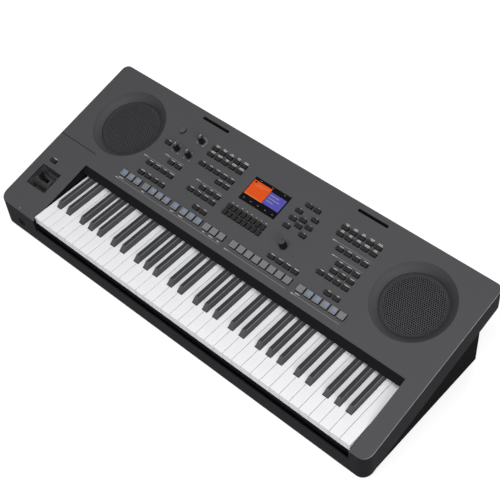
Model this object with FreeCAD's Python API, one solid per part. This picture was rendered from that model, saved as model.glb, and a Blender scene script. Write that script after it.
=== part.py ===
import FreeCAD, Part
import math
import os

# Arranger keyboard with 61 keys, built-in speakers, a display and a full button panel.
# Millimetres. +X runs to the player's right, +Y away from the player and +Z up.
# The origin is under the middle of the instrument, on the surface it stands on.

os.makedirs("parts", exist_ok=True)
Vec = FreeCAD.Vector

# Keys
WHITE_COUNT = 36
WHITES_PER_OCTAVE = 7
OCTAVES = 5
KEY_PITCH = 23.5
KEY_GAP = 0.9
KEY_TOP_HEIGHT = 80.0
KEY_SETBACK = 6.0
WHITE_HEAD_LENGTH = 49.0
WHITE_BODY_DEPTH = 12.0
WHITE_LIP_DEPTH = 18.0
WHITE_LIP_THICKNESS = 3.5
KEY_WALL = 2.0
KEY_EDGE_ROUND = 0.7
BLACK_SLOT = 13.7
BLACK_START = 50.0
BLACK_RISE = 12.5
BLACK_LENGTH = 101.0
BLACK_FRONT_RUN = 10.0
BLACK_REAR_RUN = 3.0
BLACK_TOP_INSET = 1.7
BLACK_EDGE_ROUND = 0.9
KEY_DIP = 10.0
PIVOT_BACK = 208.0
PIVOT_ROD_RADIUS = 2.5
RUNNING_CLEARANCE = 0.05
HUB_WIDTH = 9.0
HUB_WALL = 3.5
TAIL_STOP = 8.0
ACTUATOR_PLACE = 90.0
ACTUATOR_WIDTH = 5.0
ACTUATOR_LENGTH = 8.0
ACTUATOR_REACH = 26.5

# Casing
LEFT_CHEEK = 112.0
RIGHT_CHEEK = 39.0
WELL_SIDE_GAP = 1.5
REAR_MARGIN = 64.07
DECK_FRONT_HEIGHT = 70.0
DECK_REAR_HEIGHT = 168.0
CASE_WALL = 3.0
FRONT_CORNER_RADIUS = 22.0
REAR_CORNER_RADIUS = 15.0
DECK_EDGE_ROUND = 1.6
SKIRT_FRONT_CLEAR = 4.0
SKIRT_REAR_DEPTH = 48.0
SHELL_GAP = 0.3
SHELL_OVERLAP = 8.0
FOOT_HEIGHT = 3.0
REAR_OVERHANG = 62.0
OVERRUN = 6.0
EDGE_TOLERANCE = 0.004

# Key well and front rail
WELL_RUN = 165.7
FALLBOARD_LEAN = 12.0
FALLBOARD_CLEARANCE = 2.5
RAIL_DROP = 39.0
RAIL_END_GAP = 0.3

# Speakers
SPEAKER_FROM_SIDE = 120.0
SPEAKER_FROM_REAR = 117.0
DISH_RADIUS = 84.0
DISH_DEPTH = 13.0
DISH_BULGE = 2.2
GRILLE_RADIUS = 67.0
GRILLE_GAP = 0.3
GRILLE_THICKNESS = 1.5
GRILLE_SINK = 4.0
GRILLE_RIM_WIDTH = 7.0
BASKET_THROAT_RADIUS = 56.0
BASKET_BACK_RADIUS = 30.0
BASKET_DEPTH = 21.0
BASKET_WALL = 2.0
MAGNET_RADIUS = 33.0
MAGNET_HEIGHT = 14.0
CONE_GAP = 0.3
CONE_THROAT_RADIUS = 18.0
CONE_WALL = 1.0
CONE_DEPTH = 16.0
CONE_RIM_WIDTH = 6.0
DUST_CAP_RISE = 5.0

# Sockets for a music rest
REST_SLOT_LENGTH = 74.0
REST_SLOT_WIDTH = 6.4
REST_SLOT_DEPTH = 18.0
REST_SLOT_FROM_REAR = 16.0
REST_SLOT_FROM_MIDDLE = 210.0
REST_SLOT_WALL = 2.0
REST_SLOT_END_SHARE = 0.96

# Panel buttons: rows count up from the pad row, columns across
PANEL_FIT = 0.35
BUTTON_PITCH = 20.0
BUTTON_WIDTH = 16.0
BUTTON_LENGTH = 8.4
BUTTON_RISE = 4.0
BUTTON_TRAVEL = 1.0
BUTTON_CORNER = 1.2
BUTTON_TOP_ROUND = 0.7
BUTTON_FLANGE = 1.0
BUTTON_FLANGE_THICKNESS = 1.2
BUTTON_STEM = 5.0
BUTTON_STEM_DEPTH = 6.5
PAD_WIDTH = 16.5
PAD_LENGTH = 15.5
PAD_PITCH = 20.0
PAD_GROUP_STEP = 25.0
PAD_WIDE_STEP = 34.0
PAD_ROW_START = -298.0
PAD_ROW_FROM_WELL = 32.0
ROW_1_STEP = 21.5
ROW_2_STEP = 27.0
ROW_3_STEP = 16.0
ROW_4_STEP = 10.0
ROW_5_STEP = 18.0
ROW_6_STEP = 16.5
ROW_7_STEP = 27.0
ROW_8_STEP = 16.0
RIGHT_ROW_4_LIFT = 7.5
LEFT_COLUMN_START = -268.5
MAIN_COLUMN_START = -168.5
RIGHT_COLUMN_START = 178.5
CENTER_COLUMN_START = 96.0
TALL_WIDTH = 10.0
TALL_LENGTH = 12.0
TALL_PITCH = 12.8
TALL_START = -50.5
TALL_ROW_STEP = 14.4
CURSOR_MIDDLE = 97.5
CURSOR_COLUMN_STEP = 20.4
CURSOR_ROW_STEP = 20.0
CURSOR_TOP_STEP = 10.2
CURSOR_ARROW_STEP = 7.4
MODE_BUTTON_FROM_LEFT = 41.0
MODE_BUTTON_FROM_FRONT = 133.0
POWER_RADIUS = 8.5
POWER_RISE = 3.0
POWER_TRAVEL = 1.5
POWER_COLUMN_SHIFT = 4.5

# Display
DISPLAY_MIDDLE = -2.5
DISPLAY_WIDTH = 95.0
DISPLAY_LENGTH = 59.0
DISPLAY_SINK = 0.3
DISPLAY_FROM_TOP_ROW = 33.5
MODULE_BORDER = 5.0
MODULE_THICKNESS = 9.0

# Knobs
KNOB_RADIUS = 6.4
KNOB_RISE = 21.0
KNOB_LIFT = 0.6
KNOB_STEP = 34.0
KNOB_TOP_ROUND = 0.8
KNOB_TAPER = 0.5
KNOB_ROW_DROP = 2.0
KNOB_POINTER_WIDTH = 1.2
KNOB_POINTER_DEPTH = 0.5
DIAL_RADIUS = 8.2
DIAL_RISE = 22.0
DIAL_MIDDLE = 101.0
DIAL_LIFT_FROM_ROW = 5.0
SHAFT_RADIUS = 3.0
SHAFT_REACH = 10.0
POT_SIDE = 13.0

# Circuit boards
BOARD_THICKNESS = 1.6
PANEL_BOARD_DROP = 15.0
PANEL_BOARD_MARGIN = 12.0
PANEL_BOARD_GAP = 4.0
SWITCH_SIDE = 6.0
SWITCH_GAP = 0.2
BOARD_POST_RADIUS = 2.5
BOARD_POST_INSET = 5.0
BOARD_POST_FROM_PADS = 12.5
BOARD_POST_FROM_TOP_ROW = 8.8
MAIN_BOARD_WIDTH = 220.0
MAIN_BOARD_LENGTH = 62.0
MAIN_BOARD_LEFT = -180.0
MAIN_BOARD_LEVEL = 20.0
MAIN_BOARD_FROM_REAR_WALL = 40.0
CHIP_SIDE = 22.0
CHIP_COUNT = 4
CHIP_HEIGHT = 2.4

# Keyboard chassis
CHASSIS_PLATE = 3.0
CHASSIS_DROP = 41.0
CHASSIS_FRONT = 2.0
CHASSIS_BACK_MARGIN = 10.0
CHASSIS_END_GAP = 4.0
BEARING_RIB = 2.4
BEARING_RIB_LENGTH = 13.0
STOP_BAR_LENGTH = 10.0
STOP_FELT_THICKNESS = 2.0
STOP_FELT_GAP = 0.4
CONTACT_BOARD_LENGTH = 44.0
RUBBER_LENGTH = 16.0
RUBBER_GAP = 0.4
CHASSIS_POST_RADIUS = 5.0
CHASSIS_POST_INSET = 30.0
CHASSIS_POST_COUNT = 5

# Screws and feet
SCREW_RADIUS = 1.7
SCREW_HOLE_GAP = 0.15
SCREW_LENGTH = 16.0
SCREW_HEAD_RADIUS = 3.4
SCREW_HEAD_HEIGHT = 1.8
FOOT_RADIUS = 11.0
FOOT_INSET = 48.0
CASE_POST_RADIUS = 5.0
CASE_POST_FROM_REAR = 35.0
CASE_POST_STEP = 187.0
CASE_POST_PROUD = 0.5
CHEEK_POST_FROM_SIDE = 20.0
CHEEK_POST_FROM_FRONT = 34.0

# Sockets
SOCKET_HEIGHT = 61.0
FIRST_JACK = -15.0
JACK_BORE_RADIUS = 3.25
JACK_BORE_DEPTH = 24.0
JACK_BUSH_RADIUS = 5.2
JACK_BODY_SIDE = 17.0
JACK_BODY_DEPTH = 30.0
JACK_STEP = 32.0
JACK_COUNT = 3
JACK_HOLE_GAP = 0.3
USB_WIDTH = 12.0
USB_HEIGHT = 10.9
USB_MOUTH_WIDTH = 8.6
USB_MOUTH_HEIGHT = 8.0
USB_DEPTH = 16.0
USB_MOUTH_DEPTH = 9.0
DC_SIDE = 11.0
DC_BORE_RADIUS = 2.9
DC_DEPTH = 14.0
DC_BORE_DEPTH = 10.0
PHONES_FROM_WELL = 50.0
PHONES_HEIGHT = 32.0

# Joystick
STICK_RECESS_WIDTH = 57.0
STICK_RECESS_LENGTH = 54.0
STICK_RECESS_DEPTH = 34.0
STICK_FROM_LEFT = 53.5
STICK_FROM_FRONT = 89.0
TUB_WALL = 2.5
TUB_LIP = 4.0
DRUM_RADIUS = 17.0
DRUM_LENGTH = 46.0
DRUM_DROP = 19.0
DRUM_FLAT_DROP = 8.0
DRUM_PIN_RADIUS = 3.0
DRUM_SLOT_LENGTH = 30.0
DRUM_SLOT_WIDTH = 9.0
STICK_PIN_RADIUS = 1.5
STICK_RISE = 26.0
STICK_WIDTH = 7.0
STICK_TOP_WIDTH = 11.0
STICK_THICKNESS = 7.6
STICK_TOP_THICKNESS = 13.0
STICK_HUB_RADIUS = 4.5
STICK_ROUND = 1.5

# Sizes worked out from the ones above
PAD_ROW = WELL_RUN + PAD_ROW_FROM_WELL
ROW_1 = PAD_ROW + ROW_1_STEP
ROW_2 = ROW_1 + ROW_2_STEP
ROW_3 = ROW_2 + ROW_3_STEP
ROW_4 = ROW_3 + ROW_4_STEP
ROW_5 = ROW_4 + ROW_5_STEP
ROW_6 = ROW_5 + ROW_6_STEP
ROW_7 = ROW_6 + ROW_7_STEP
ROW_8 = ROW_7 + ROW_8_STEP
OCTAVE = WHITES_PER_OCTAVE * KEY_PITCH
KEYS_WIDTH = WHITE_COUNT * KEY_PITCH
WELL_WIDTH = KEYS_WIDTH + 2 * WELL_SIDE_GAP
WIDTH = LEFT_CHEEK + WELL_WIDTH + RIGHT_CHEEK
DECK_LENGTH = ROW_8 + REAR_MARGIN
DEPTH = math.sqrt(DECK_LENGTH ** 2 - (DECK_REAR_HEIGHT - DECK_FRONT_HEIGHT) ** 2)
DECK_PER_PLAN_SHARE = DECK_LENGTH / DEPTH
LEFT = -WIDTH / 2
RIGHT = WIDTH / 2
FRONT = -DEPTH / 2
REAR = DEPTH / 2
WELL_LEFT = LEFT + LEFT_CHEEK
WELL_RIGHT = RIGHT - RIGHT_CHEEK
WELL_REAR = FRONT + WELL_RUN / DECK_PER_PLAN_SHARE
KEY_LEFT = WELL_LEFT + WELL_SIDE_GAP
KEY_FRONT = FRONT + KEY_SETBACK
KEY_TOP = KEY_TOP_HEIGHT
SLOPE = (DECK_REAR_HEIGHT - DECK_FRONT_HEIGHT) / DEPTH
SLOPE_ANGLE = math.degrees(math.atan(SLOPE))
SKIRT_REAR_HEIGHT = DECK_REAR_HEIGHT - SKIRT_REAR_DEPTH
SKIRT_SLOPE = (SKIRT_REAR_HEIGHT - SKIRT_FRONT_CLEAR) / DEPTH
FLOOR_TOP = FOOT_HEIGHT + CASE_WALL
REAR_WALL = REAR - REAR_OVERHANG
RAIL_TOP = KEY_TOP - RAIL_DROP
PIVOT_Y = KEY_FRONT + PIVOT_BACK
PIVOT_Z = KEY_TOP - WHITE_BODY_DEPTH / 2
FALLBOARD_BOTTOM = KEY_TOP + BLACK_RISE + FALLBOARD_CLEARANCE
CHASSIS_BOTTOM = KEY_TOP - CHASSIS_DROP
CHASSIS_TOP = CHASSIS_BOTTOM + CHASSIS_PLATE
TALL_BIG = 2 * DECK_REAR_HEIGHT

RIGHT_ROW_4 = ROW_4 + RIGHT_ROW_4_LIFT
DISPLAY_ROW = ROW_8 - DISPLAY_FROM_TOP_ROW
KNOB_ROW_LOW = ROW_6 - KNOB_ROW_DROP
KNOB_ROW_HIGH = ROW_8 - KNOB_ROW_DROP
KNOB_RIGHT = LEFT_COLUMN_START + 3 * BUTTON_PITCH + KNOB_ROW_DROP
SPEAKER_U = WIDTH / 2 - SPEAKER_FROM_SIDE
SPEAKER_V = DECK_LENGTH - SPEAKER_FROM_REAR
SEAT_DEPTH = DISH_DEPTH + GRILLE_SINK + GRILLE_THICKNESS
SEAT_RADIUS = GRILLE_RADIUS + CASE_WALL
STICK_U = LEFT + STICK_FROM_LEFT
MODE_BUTTON_U = LEFT + MODE_BUTTON_FROM_LEFT
BUTTON_BOTTOM = CASE_WALL + BUTTON_STEM_DEPTH

DECK_PLACE = FreeCAD.Placement(Vec(0, FRONT, DECK_FRONT_HEIGHT),
                               FreeCAD.Rotation(Vec(1, 0, 0), SLOPE_ANGLE))
KEY_PLACE = FreeCAD.Placement(Vec(KEY_LEFT, KEY_FRONT, KEY_TOP), FreeCAD.Rotation())


# Small helpers

def box(x_range, y_range, z_range):
    """A box between the two ends of each range."""
    (x0, x1), (y0, y1), (z0, z1) = x_range, y_range, z_range
    return Part.makeBox(x1 - x0, y1 - y0, z1 - z0, Vec(x0, y0, z0))


def around(middle, size):
    """The range of the given size about a middle."""
    return middle - size / 2, middle + size / 2


def grown(value_range, margin):
    """A range made longer by a margin at both ends."""
    return value_range[0] - margin, value_range[1] + margin


def placed(shape, placement):
    """A copy of a shape built in a local frame, moved into the instrument's frame."""
    copy = shape.copy()
    copy.transformShape(placement.toMatrix())
    return copy


def on_deck(shape):
    """From the deck's frame (across, up the slope, out of the deck) to the instrument's."""
    return placed(shape, DECK_PLACE)


def along_x(points, x_range):
    """A prism whose outline is given as (y, z) points and which runs along X."""
    corners = [Vec(x_range[0], y, z) for y, z in points]
    face = Part.Face(Part.makePolygon(corners + corners[:1]))
    return face.extrude(Vec(x_range[1] - x_range[0], 0, 0))


def turned(points):
    """A solid of revolution about the local Z axis from an (r, z) outline."""
    corners = [Vec(r, 0, z) for r, z in points]
    face = Part.Face(Part.makePolygon(corners + corners[:1]))
    return face.revolve(Vec(0, 0, 0), Vec(0, 0, 1), 360)


def rounded_plate(x_range, y_range, z_range, front_radius, rear_radius):
    """An upright plate whose front and rear corners have their own radii."""
    (x0, x1), (y0, y1) = x_range, y_range
    diagonal = math.sqrt(2) / 2
    corners = [(x0, y0, 1, 1, front_radius), (x1, y0, -1, 1, front_radius),
               (x1, y1, -1, -1, rear_radius), (x0, y1, 1, -1, rear_radius)]
    edges = []
    starts = []
    for index, (x, y, inward_x, inward_y, radius) in enumerate(corners):
        center = Vec(x + inward_x * radius, y + inward_y * radius, z_range[0])
        on_side = Vec(x, center.y, z_range[0])
        on_end = Vec(center.x, y, z_range[0])
        middle = center + Vec(-inward_x, -inward_y, 0) * radius * diagonal
        first, last = (on_side, on_end) if index % 2 == 0 else (on_end, on_side)
        starts.append((first, middle, last))
    for index, (first, middle, last) in enumerate(starts):
        edges.append(Part.Arc(first, middle, last).toShape())
        edges.append(Part.makeLine(last, starts[(index + 1) % len(starts)][0]))
    face = Part.Face(Part.Wire(edges))
    return face.extrude(Vec(0, 0, z_range[1] - z_range[0]))


def flat_edges(shape, height):
    """The edges that lie wholly at one local height."""
    level = [edge for edge in shape.Edges
             if max(abs(vertex.Z - height) for vertex in edge.Vertexes) < EDGE_TOLERANCE]
    return level


def save(name, solids):
    """Write one node; a list of solids becomes a group of separate solids."""
    shape = solids if isinstance(solids, Part.Shape) else Part.makeCompound(solids)
    bad = [solid for solid in shape.Solids if not solid.isValid()]
    print(name, "solids", len(shape.Solids), "invalid", len(bad), "volume", round(shape.Volume))
    shape.exportStep("parts/%s.step" % name)


# Keys

def tail_places():
    """Where each of the twelve notes starts across an octave, and how wide its tail is."""
    low_tail = (3 * KEY_PITCH - 2 * BLACK_SLOT) / 3
    high_tail = (4 * KEY_PITCH - 3 * BLACK_SLOT) / 4
    widths = [low_tail, BLACK_SLOT, low_tail, BLACK_SLOT, low_tail]
    widths += [high_tail, BLACK_SLOT, high_tail, BLACK_SLOT, high_tail, BLACK_SLOT, high_tail]
    starts = [sum(widths[:index]) for index in range(len(widths))]
    return list(zip(starts, widths))


def key_hub(middle):
    """The rear eye of a key, with the bore that turns on the pivot rod."""
    hub_radius = PIVOT_ROD_RADIUS + HUB_WALL
    x_range = around(middle, HUB_WIDTH)
    center = Vec(x_range[0], PIVOT_BACK, PIVOT_Z - KEY_TOP)
    hub = Part.makeCylinder(hub_radius, HUB_WIDTH, center, Vec(1, 0, 0))
    neck = box(x_range, (PIVOT_BACK - TAIL_STOP - KEY_WALL, PIVOT_BACK), around(center.z, hub_radius))
    bore_radius = PIVOT_ROD_RADIUS + RUNNING_CLEARANCE
    bore = Part.makeCylinder(bore_radius, HUB_WIDTH, center, Vec(1, 0, 0))
    return hub.fuse(neck).cut(bore)


def key_actuator(middle):
    """The post under a key that presses its rubber contact."""
    return box(around(middle, ACTUATOR_WIDTH), around(ACTUATOR_PLACE, ACTUATOR_LENGTH),
               (-ACTUATOR_REACH, -KEY_WALL))


def white_key(head_left, tail_left, tail_width):
    """A hollow white key with a front lip, a notched tail and a rear eye."""
    head = (head_left + KEY_GAP / 2, head_left + KEY_PITCH - KEY_GAP / 2)
    tail = (tail_left + KEY_GAP / 2, tail_left + tail_width - KEY_GAP / 2)
    tail_end = PIVOT_BACK - TAIL_STOP
    depth_range = (-WHITE_BODY_DEPTH, 0)
    body = box(head, (0, WHITE_HEAD_LENGTH), depth_range)
    body = body.fuse(box(tail, (0, tail_end), depth_range)).removeSplitter()
    body = body.makeFillet(KEY_EDGE_ROUND, flat_edges(body, 0))
    hollow = (-WHITE_BODY_DEPTH - OVERRUN, -KEY_WALL)
    body = body.cut(box(grown(head, -KEY_WALL), (WHITE_LIP_THICKNESS, WHITE_HEAD_LENGTH - KEY_WALL), hollow))
    body = body.cut(box(grown(tail, -KEY_WALL), (WHITE_LIP_THICKNESS, tail_end - KEY_WALL), hollow))
    lip = box(head, (0, WHITE_LIP_THICKNESS), (-WHITE_LIP_DEPTH, -KEY_EDGE_ROUND))
    middle = (tail[0] + tail[1]) / 2
    return body.fuse([lip, key_actuator(middle), key_hub(middle)]).removeSplitter()


def black_key(slot_left):
    """A raised black key with a sloping front and drawn-in sides."""
    across = (slot_left + KEY_GAP / 2, slot_left + BLACK_SLOT - KEY_GAP / 2)
    back = BLACK_START + BLACK_LENGTH
    foot = [(across[0], BLACK_START), (across[1], BLACK_START), (across[1], back), (across[0], back)]
    top_across = grown(across, -BLACK_TOP_INSET)
    top_front = BLACK_START + BLACK_FRONT_RUN
    top_back = back - BLACK_REAR_RUN
    top = [(top_across[0], top_front), (top_across[1], top_front),
           (top_across[1], top_back), (top_across[0], top_back)]
    foot_wire = Part.makePolygon([Vec(x, y, 0) for x, y in foot + foot[:1]])
    top_wire = Part.makePolygon([Vec(x, y, BLACK_RISE) for x, y in top + top[:1]])
    cap = Part.makeLoft([foot_wire, top_wire], True, True)
    cap = cap.makeFillet(BLACK_EDGE_ROUND, flat_edges(cap, BLACK_RISE))
    body = box(across, (BLACK_START, PIVOT_BACK - TAIL_STOP), (-WHITE_BODY_DEPTH, 0))
    hollow = box(grown(across, -KEY_WALL), (BLACK_START + KEY_WALL, PIVOT_BACK - TAIL_STOP - KEY_WALL),
                 (-WHITE_BODY_DEPTH - OVERRUN, -KEY_WALL))
    middle = (across[0] + across[1]) / 2
    return cap.fuse([body.cut(hollow), key_actuator(middle), key_hub(middle)]).removeSplitter()


def key_sets():
    """The keys of each note, in every octave, with one more key at the top."""
    notes = ["c", "c_sharp", "d", "d_sharp", "e", "f", "f_sharp", "g", "g_sharp", "a", "a_sharp", "b"]
    sets = {}
    white_index = 0
    for note, (tail_left, tail_width) in zip(notes, tail_places()):
        if note.endswith("sharp"):
            key = black_key(tail_left)
        else:
            key = white_key(white_index * KEY_PITCH, tail_left, tail_width)
            white_index += 1
        copies = []
        for octave in range(OCTAVES):
            step = FreeCAD.Placement(Vec(octave * OCTAVE, 0, 0), FreeCAD.Rotation())
            copies.append(placed(placed(key, step), KEY_PLACE))
        sets[note + "_keys"] = copies
    top_left = OCTAVES * OCTAVE
    sets["c_keys"].append(placed(white_key(top_left, top_left, KEY_PITCH), KEY_PLACE))
    return sets


def key_pivot_rod():
    """The steel rod that all keys turn on."""
    x_range = grown((KEY_LEFT, KEY_LEFT + KEYS_WIDTH), BEARING_RIB / 2)
    return Part.makeCylinder(PIVOT_ROD_RADIUS, x_range[1] - x_range[0],
                             Vec(x_range[0], PIVOT_Y, PIVOT_Z), Vec(1, 0, 0))


def chassis_range():
    """How far the keyboard chassis runs across."""
    return grown((WELL_LEFT, WELL_RIGHT), -WELL_SIDE_GAP / 2)


def felt_top():
    return KEY_TOP - WHITE_LIP_DEPTH - KEY_DIP - STOP_FELT_GAP


def keyboard_chassis():
    """The plate under the keys, with its front stop bar and the ribs that hold the rod."""
    across = chassis_range()
    back = PIVOT_Y + CHASSIS_BACK_MARGIN
    front = KEY_FRONT + CHASSIS_FRONT
    chassis = box(across, (front, back), (CHASSIS_BOTTOM, CHASSIS_TOP))
    bar = box(across, (front, front + STOP_BAR_LENGTH), (CHASSIS_BOTTOM, felt_top() - STOP_FELT_THICKNESS))
    ribs = []
    for boundary in range(OCTAVES + 1):
        ribs.append(KEY_LEFT + boundary * OCTAVE)
    ribs.append(KEY_LEFT + KEYS_WIDTH)
    rib_top = PIVOT_Z + PIVOT_ROD_RADIUS + HUB_WALL
    solids = [box(around(x, BEARING_RIB), around(PIVOT_Y, BEARING_RIB_LENGTH), (CHASSIS_BOTTOM, rib_top))
              for x in ribs]
    chassis = chassis.fuse(solids + [bar]).removeSplitter()
    bore_radius = PIVOT_ROD_RADIUS + RUNNING_CLEARANCE
    bore = Part.makeCylinder(bore_radius, WIDTH, Vec(LEFT, PIVOT_Y, PIVOT_Z), Vec(1, 0, 0))
    holes = [Part.makeCylinder(SCREW_RADIUS + SCREW_HOLE_GAP, CHASSIS_DROP, Vec(x, y, CHASSIS_BOTTOM))
             for x, y in chassis_posts()]
    return chassis.cut([bore] + holes)


def chassis_posts():
    """Places of the posts that carry the chassis, in two rows."""
    first = KEY_LEFT + CHASSIS_POST_INSET
    last = KEY_LEFT + KEYS_WIDTH - CHASSIS_POST_INSET
    step = (last - first) / (CHASSIS_POST_COUNT - 1)
    rows = [KEY_FRONT + CHASSIS_POST_INSET, PIVOT_Y - CHASSIS_POST_INSET]
    return [(first + index * step, y) for y in rows for index in range(CHASSIS_POST_COUNT)]


def key_stop_felt():
    """The felt strip that the key lips land on."""
    front = KEY_FRONT + CHASSIS_FRONT
    return box(chassis_range(), (front, front + STOP_BAR_LENGTH),
               (felt_top() - STOP_FELT_THICKNESS, felt_top()))


def key_contact_board():
    """The circuit board with the key contacts, on the chassis plate."""
    return box(grown(chassis_range(), -CHASSIS_END_GAP),
               around(KEY_FRONT + ACTUATOR_PLACE, CONTACT_BOARD_LENGTH),
               (CHASSIS_TOP, CHASSIS_TOP + BOARD_THICKNESS))


def key_contact_rubber():
    """The rubber contact strip that the key posts press."""
    lever_share = (PIVOT_BACK - ACTUATOR_PLACE) / PIVOT_BACK
    top = KEY_TOP - ACTUATOR_REACH - KEY_DIP * lever_share - RUBBER_GAP
    return box(grown(chassis_range(), -CHASSIS_END_GAP), around(KEY_FRONT + ACTUATOR_PLACE, RUBBER_LENGTH),
               (CHASSIS_TOP + BOARD_THICKNESS, top))


# Buttons and knobs

def grid(start, pitch, row, first, count):
    """Places of a run of buttons in one row."""
    return [(start + pitch * index, row) for index in range(first, first + count)]


def left_column_places():
    places = grid(LEFT_COLUMN_START, BUTTON_PITCH, ROW_1, 0, 4)
    places += grid(LEFT_COLUMN_START, BUTTON_PITCH, ROW_2, 0, 4)
    places += grid(LEFT_COLUMN_START, BUTTON_PITCH, ROW_4, 2, 2)
    return places + grid(LEFT_COLUMN_START, BUTTON_PITCH, ROW_6, 0, 1)


def main_upper_places():
    places = grid(MAIN_COLUMN_START, BUTTON_PITCH, ROW_8, 0, 5)
    return places + grid(MAIN_COLUMN_START, BUTTON_PITCH, ROW_7, 0, 5)


def main_lower_places():
    places = grid(MAIN_COLUMN_START, BUTTON_PITCH, ROW_6, 0, 5)
    places += grid(MAIN_COLUMN_START, BUTTON_PITCH, ROW_5, 3, 2)
    places += grid(MAIN_COLUMN_START, BUTTON_PITCH, ROW_3, 2, 3)
    places += grid(MAIN_COLUMN_START, BUTTON_PITCH, ROW_2, 1, 4)
    return places + grid(MAIN_COLUMN_START, BUTTON_PITCH, ROW_1, 3, 2)


def right_upper_places():
    places = grid(RIGHT_COLUMN_START, BUTTON_PITCH, ROW_8, 0, 5)
    return places + grid(RIGHT_COLUMN_START, BUTTON_PITCH, ROW_7, 0, 5)


def right_lower_places():
    places = grid(RIGHT_COLUMN_START, BUTTON_PITCH, ROW_6, 1, 4)
    places += grid(RIGHT_COLUMN_START, BUTTON_PITCH, RIGHT_ROW_4, 2, 3)
    places += grid(RIGHT_COLUMN_START, BUTTON_PITCH, ROW_3, 2, 3)
    places += grid(RIGHT_COLUMN_START, BUTTON_PITCH, ROW_2, 1, 4)
    return places + grid(RIGHT_COLUMN_START, BUTTON_PITCH, ROW_1, 3, 2)


def center_places():
    return grid(CENTER_COLUMN_START, BUTTON_PITCH, ROW_1, 0, 4)


def tall_places():
    """Two rows of eight small upright buttons under the display."""
    places = grid(TALL_START, TALL_PITCH, ROW_2, 0, 8)
    return places + grid(TALL_START, TALL_PITCH, ROW_2 + TALL_ROW_STEP, 0, 8)


def cursor_places():
    """Ten buttons right of the display: a top pair, two side columns and an up and down pair."""
    places = [(CURSOR_MIDDLE - CURSOR_TOP_STEP, ROW_8), (CURSOR_MIDDLE + CURSOR_TOP_STEP, ROW_8)]
    middle_row = ROW_8 - 2 * CURSOR_ROW_STEP
    for side in (-1, 1):
        for rise in (-1, 0, 1):
            places.append((CURSOR_MIDDLE + side * CURSOR_COLUMN_STEP, middle_row + rise * CURSOR_ROW_STEP))
        places.append((CURSOR_MIDDLE, middle_row + side * CURSOR_ARROW_STEP))
    return places


def pad_runs():
    """The pad row: runs of pads from left to right, each as a list of places."""
    runs = []
    across = PAD_ROW_START
    for count, step in ((3, PAD_GROUP_STEP), (4, PAD_GROUP_STEP), (1, PAD_GROUP_STEP), (3, PAD_GROUP_STEP),
                        (3, PAD_WIDE_STEP), (8, PAD_WIDE_STEP), (6, PAD_WIDE_STEP)):
        runs.append(grid(across, PAD_PITCH, PAD_ROW, 0, count))
        across = runs[-1][-1][0] + step
    return runs


def button_groups():
    """Every group of buttons: its name, its places and its cap size."""
    runs = pad_runs()
    cap = (BUTTON_WIDTH, BUTTON_LENGTH)
    pad = (PAD_WIDTH, PAD_LENGTH)
    return [("left_column_buttons", left_column_places(), cap),
            ("left_upper_buttons", main_upper_places(), cap),
            ("left_lower_buttons", main_lower_places(), cap),
            ("display_buttons", tall_places(), (TALL_WIDTH, TALL_LENGTH)),
            ("cursor_buttons", cursor_places(), cap),
            ("center_buttons", center_places(), cap),
            ("right_upper_buttons", right_upper_places(), cap),
            ("right_lower_buttons", right_lower_places(), cap),
            ("mode_button", [(MODE_BUTTON_U, MODE_BUTTON_FROM_FRONT)], cap),
            ("left_pads", runs[0] + runs[1] + runs[2], pad),
            ("section_pads", runs[3] + runs[4], pad),
            ("center_pads", runs[5], pad),
            ("right_pads", runs[6], pad)]


def power_place():
    return LEFT_COLUMN_START + POWER_COLUMN_SHIFT, KNOB_ROW_HIGH


def button(size):
    """One button about the local origin: a rounded cap, a flange under the deck and a stem."""
    width, length = size
    cap = rounded_plate(around(0, width), around(0, length), (-CASE_WALL, BUTTON_RISE),
                        BUTTON_CORNER, BUTTON_CORNER)
    cap = cap.makeFillet(BUTTON_TOP_ROUND, flat_edges(cap, BUTTON_RISE))
    flange = box(grown(around(0, width), BUTTON_FLANGE), grown(around(0, length), BUTTON_FLANGE),
                 (-CASE_WALL - BUTTON_FLANGE_THICKNESS, -CASE_WALL))
    stem = box(around(0, BUTTON_STEM), around(0, BUTTON_STEM), (-BUTTON_BOTTOM, -CASE_WALL))
    return cap.fuse([flange, stem]).removeSplitter()


def spread(shape, places):
    """Copies of a deck piece at each place, in the instrument's frame."""
    copies = []
    for across, up in places:
        step = FreeCAD.Placement(Vec(across, up, 0), FreeCAD.Rotation())
        copies.append(on_deck(placed(shape, step)))
    return copies


def power_button():
    """The round standby button."""
    cap = Part.makeCylinder(POWER_RADIUS, CASE_WALL + POWER_RISE, Vec(0, 0, -CASE_WALL))
    cap = cap.makeFillet(BUTTON_TOP_ROUND, flat_edges(cap, POWER_RISE))
    flange = Part.makeCylinder(POWER_RADIUS + BUTTON_FLANGE, BUTTON_FLANGE_THICKNESS,
                               Vec(0, 0, -CASE_WALL - BUTTON_FLANGE_THICKNESS))
    stem = box(around(0, BUTTON_STEM), around(0, BUTTON_STEM), (-BUTTON_BOTTOM, -CASE_WALL))
    return spread(cap.fuse([flange, stem]).removeSplitter(), [power_place()])[0]


def knob(radius, rise, place):
    """A turned knob with a pointer groove and the shaft that goes through the deck."""
    foot = KNOB_LIFT
    head = foot + rise
    body = turned([(0, foot), (radius, foot), (radius - KNOB_TAPER, head), (0, head)])
    body = body.makeFillet(KNOB_TOP_ROUND, flat_edges(body, head))
    groove = box(around(0, KNOB_POINTER_WIDTH), (0, radius + OVERRUN),
                 (head - KNOB_POINTER_DEPTH, head + OVERRUN))
    shaft = Part.makeCylinder(SHAFT_RADIUS, SHAFT_REACH + foot, Vec(0, 0, -SHAFT_REACH))
    return spread(body.cut(groove).fuse(shaft).removeSplitter(), [place])[0]


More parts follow.
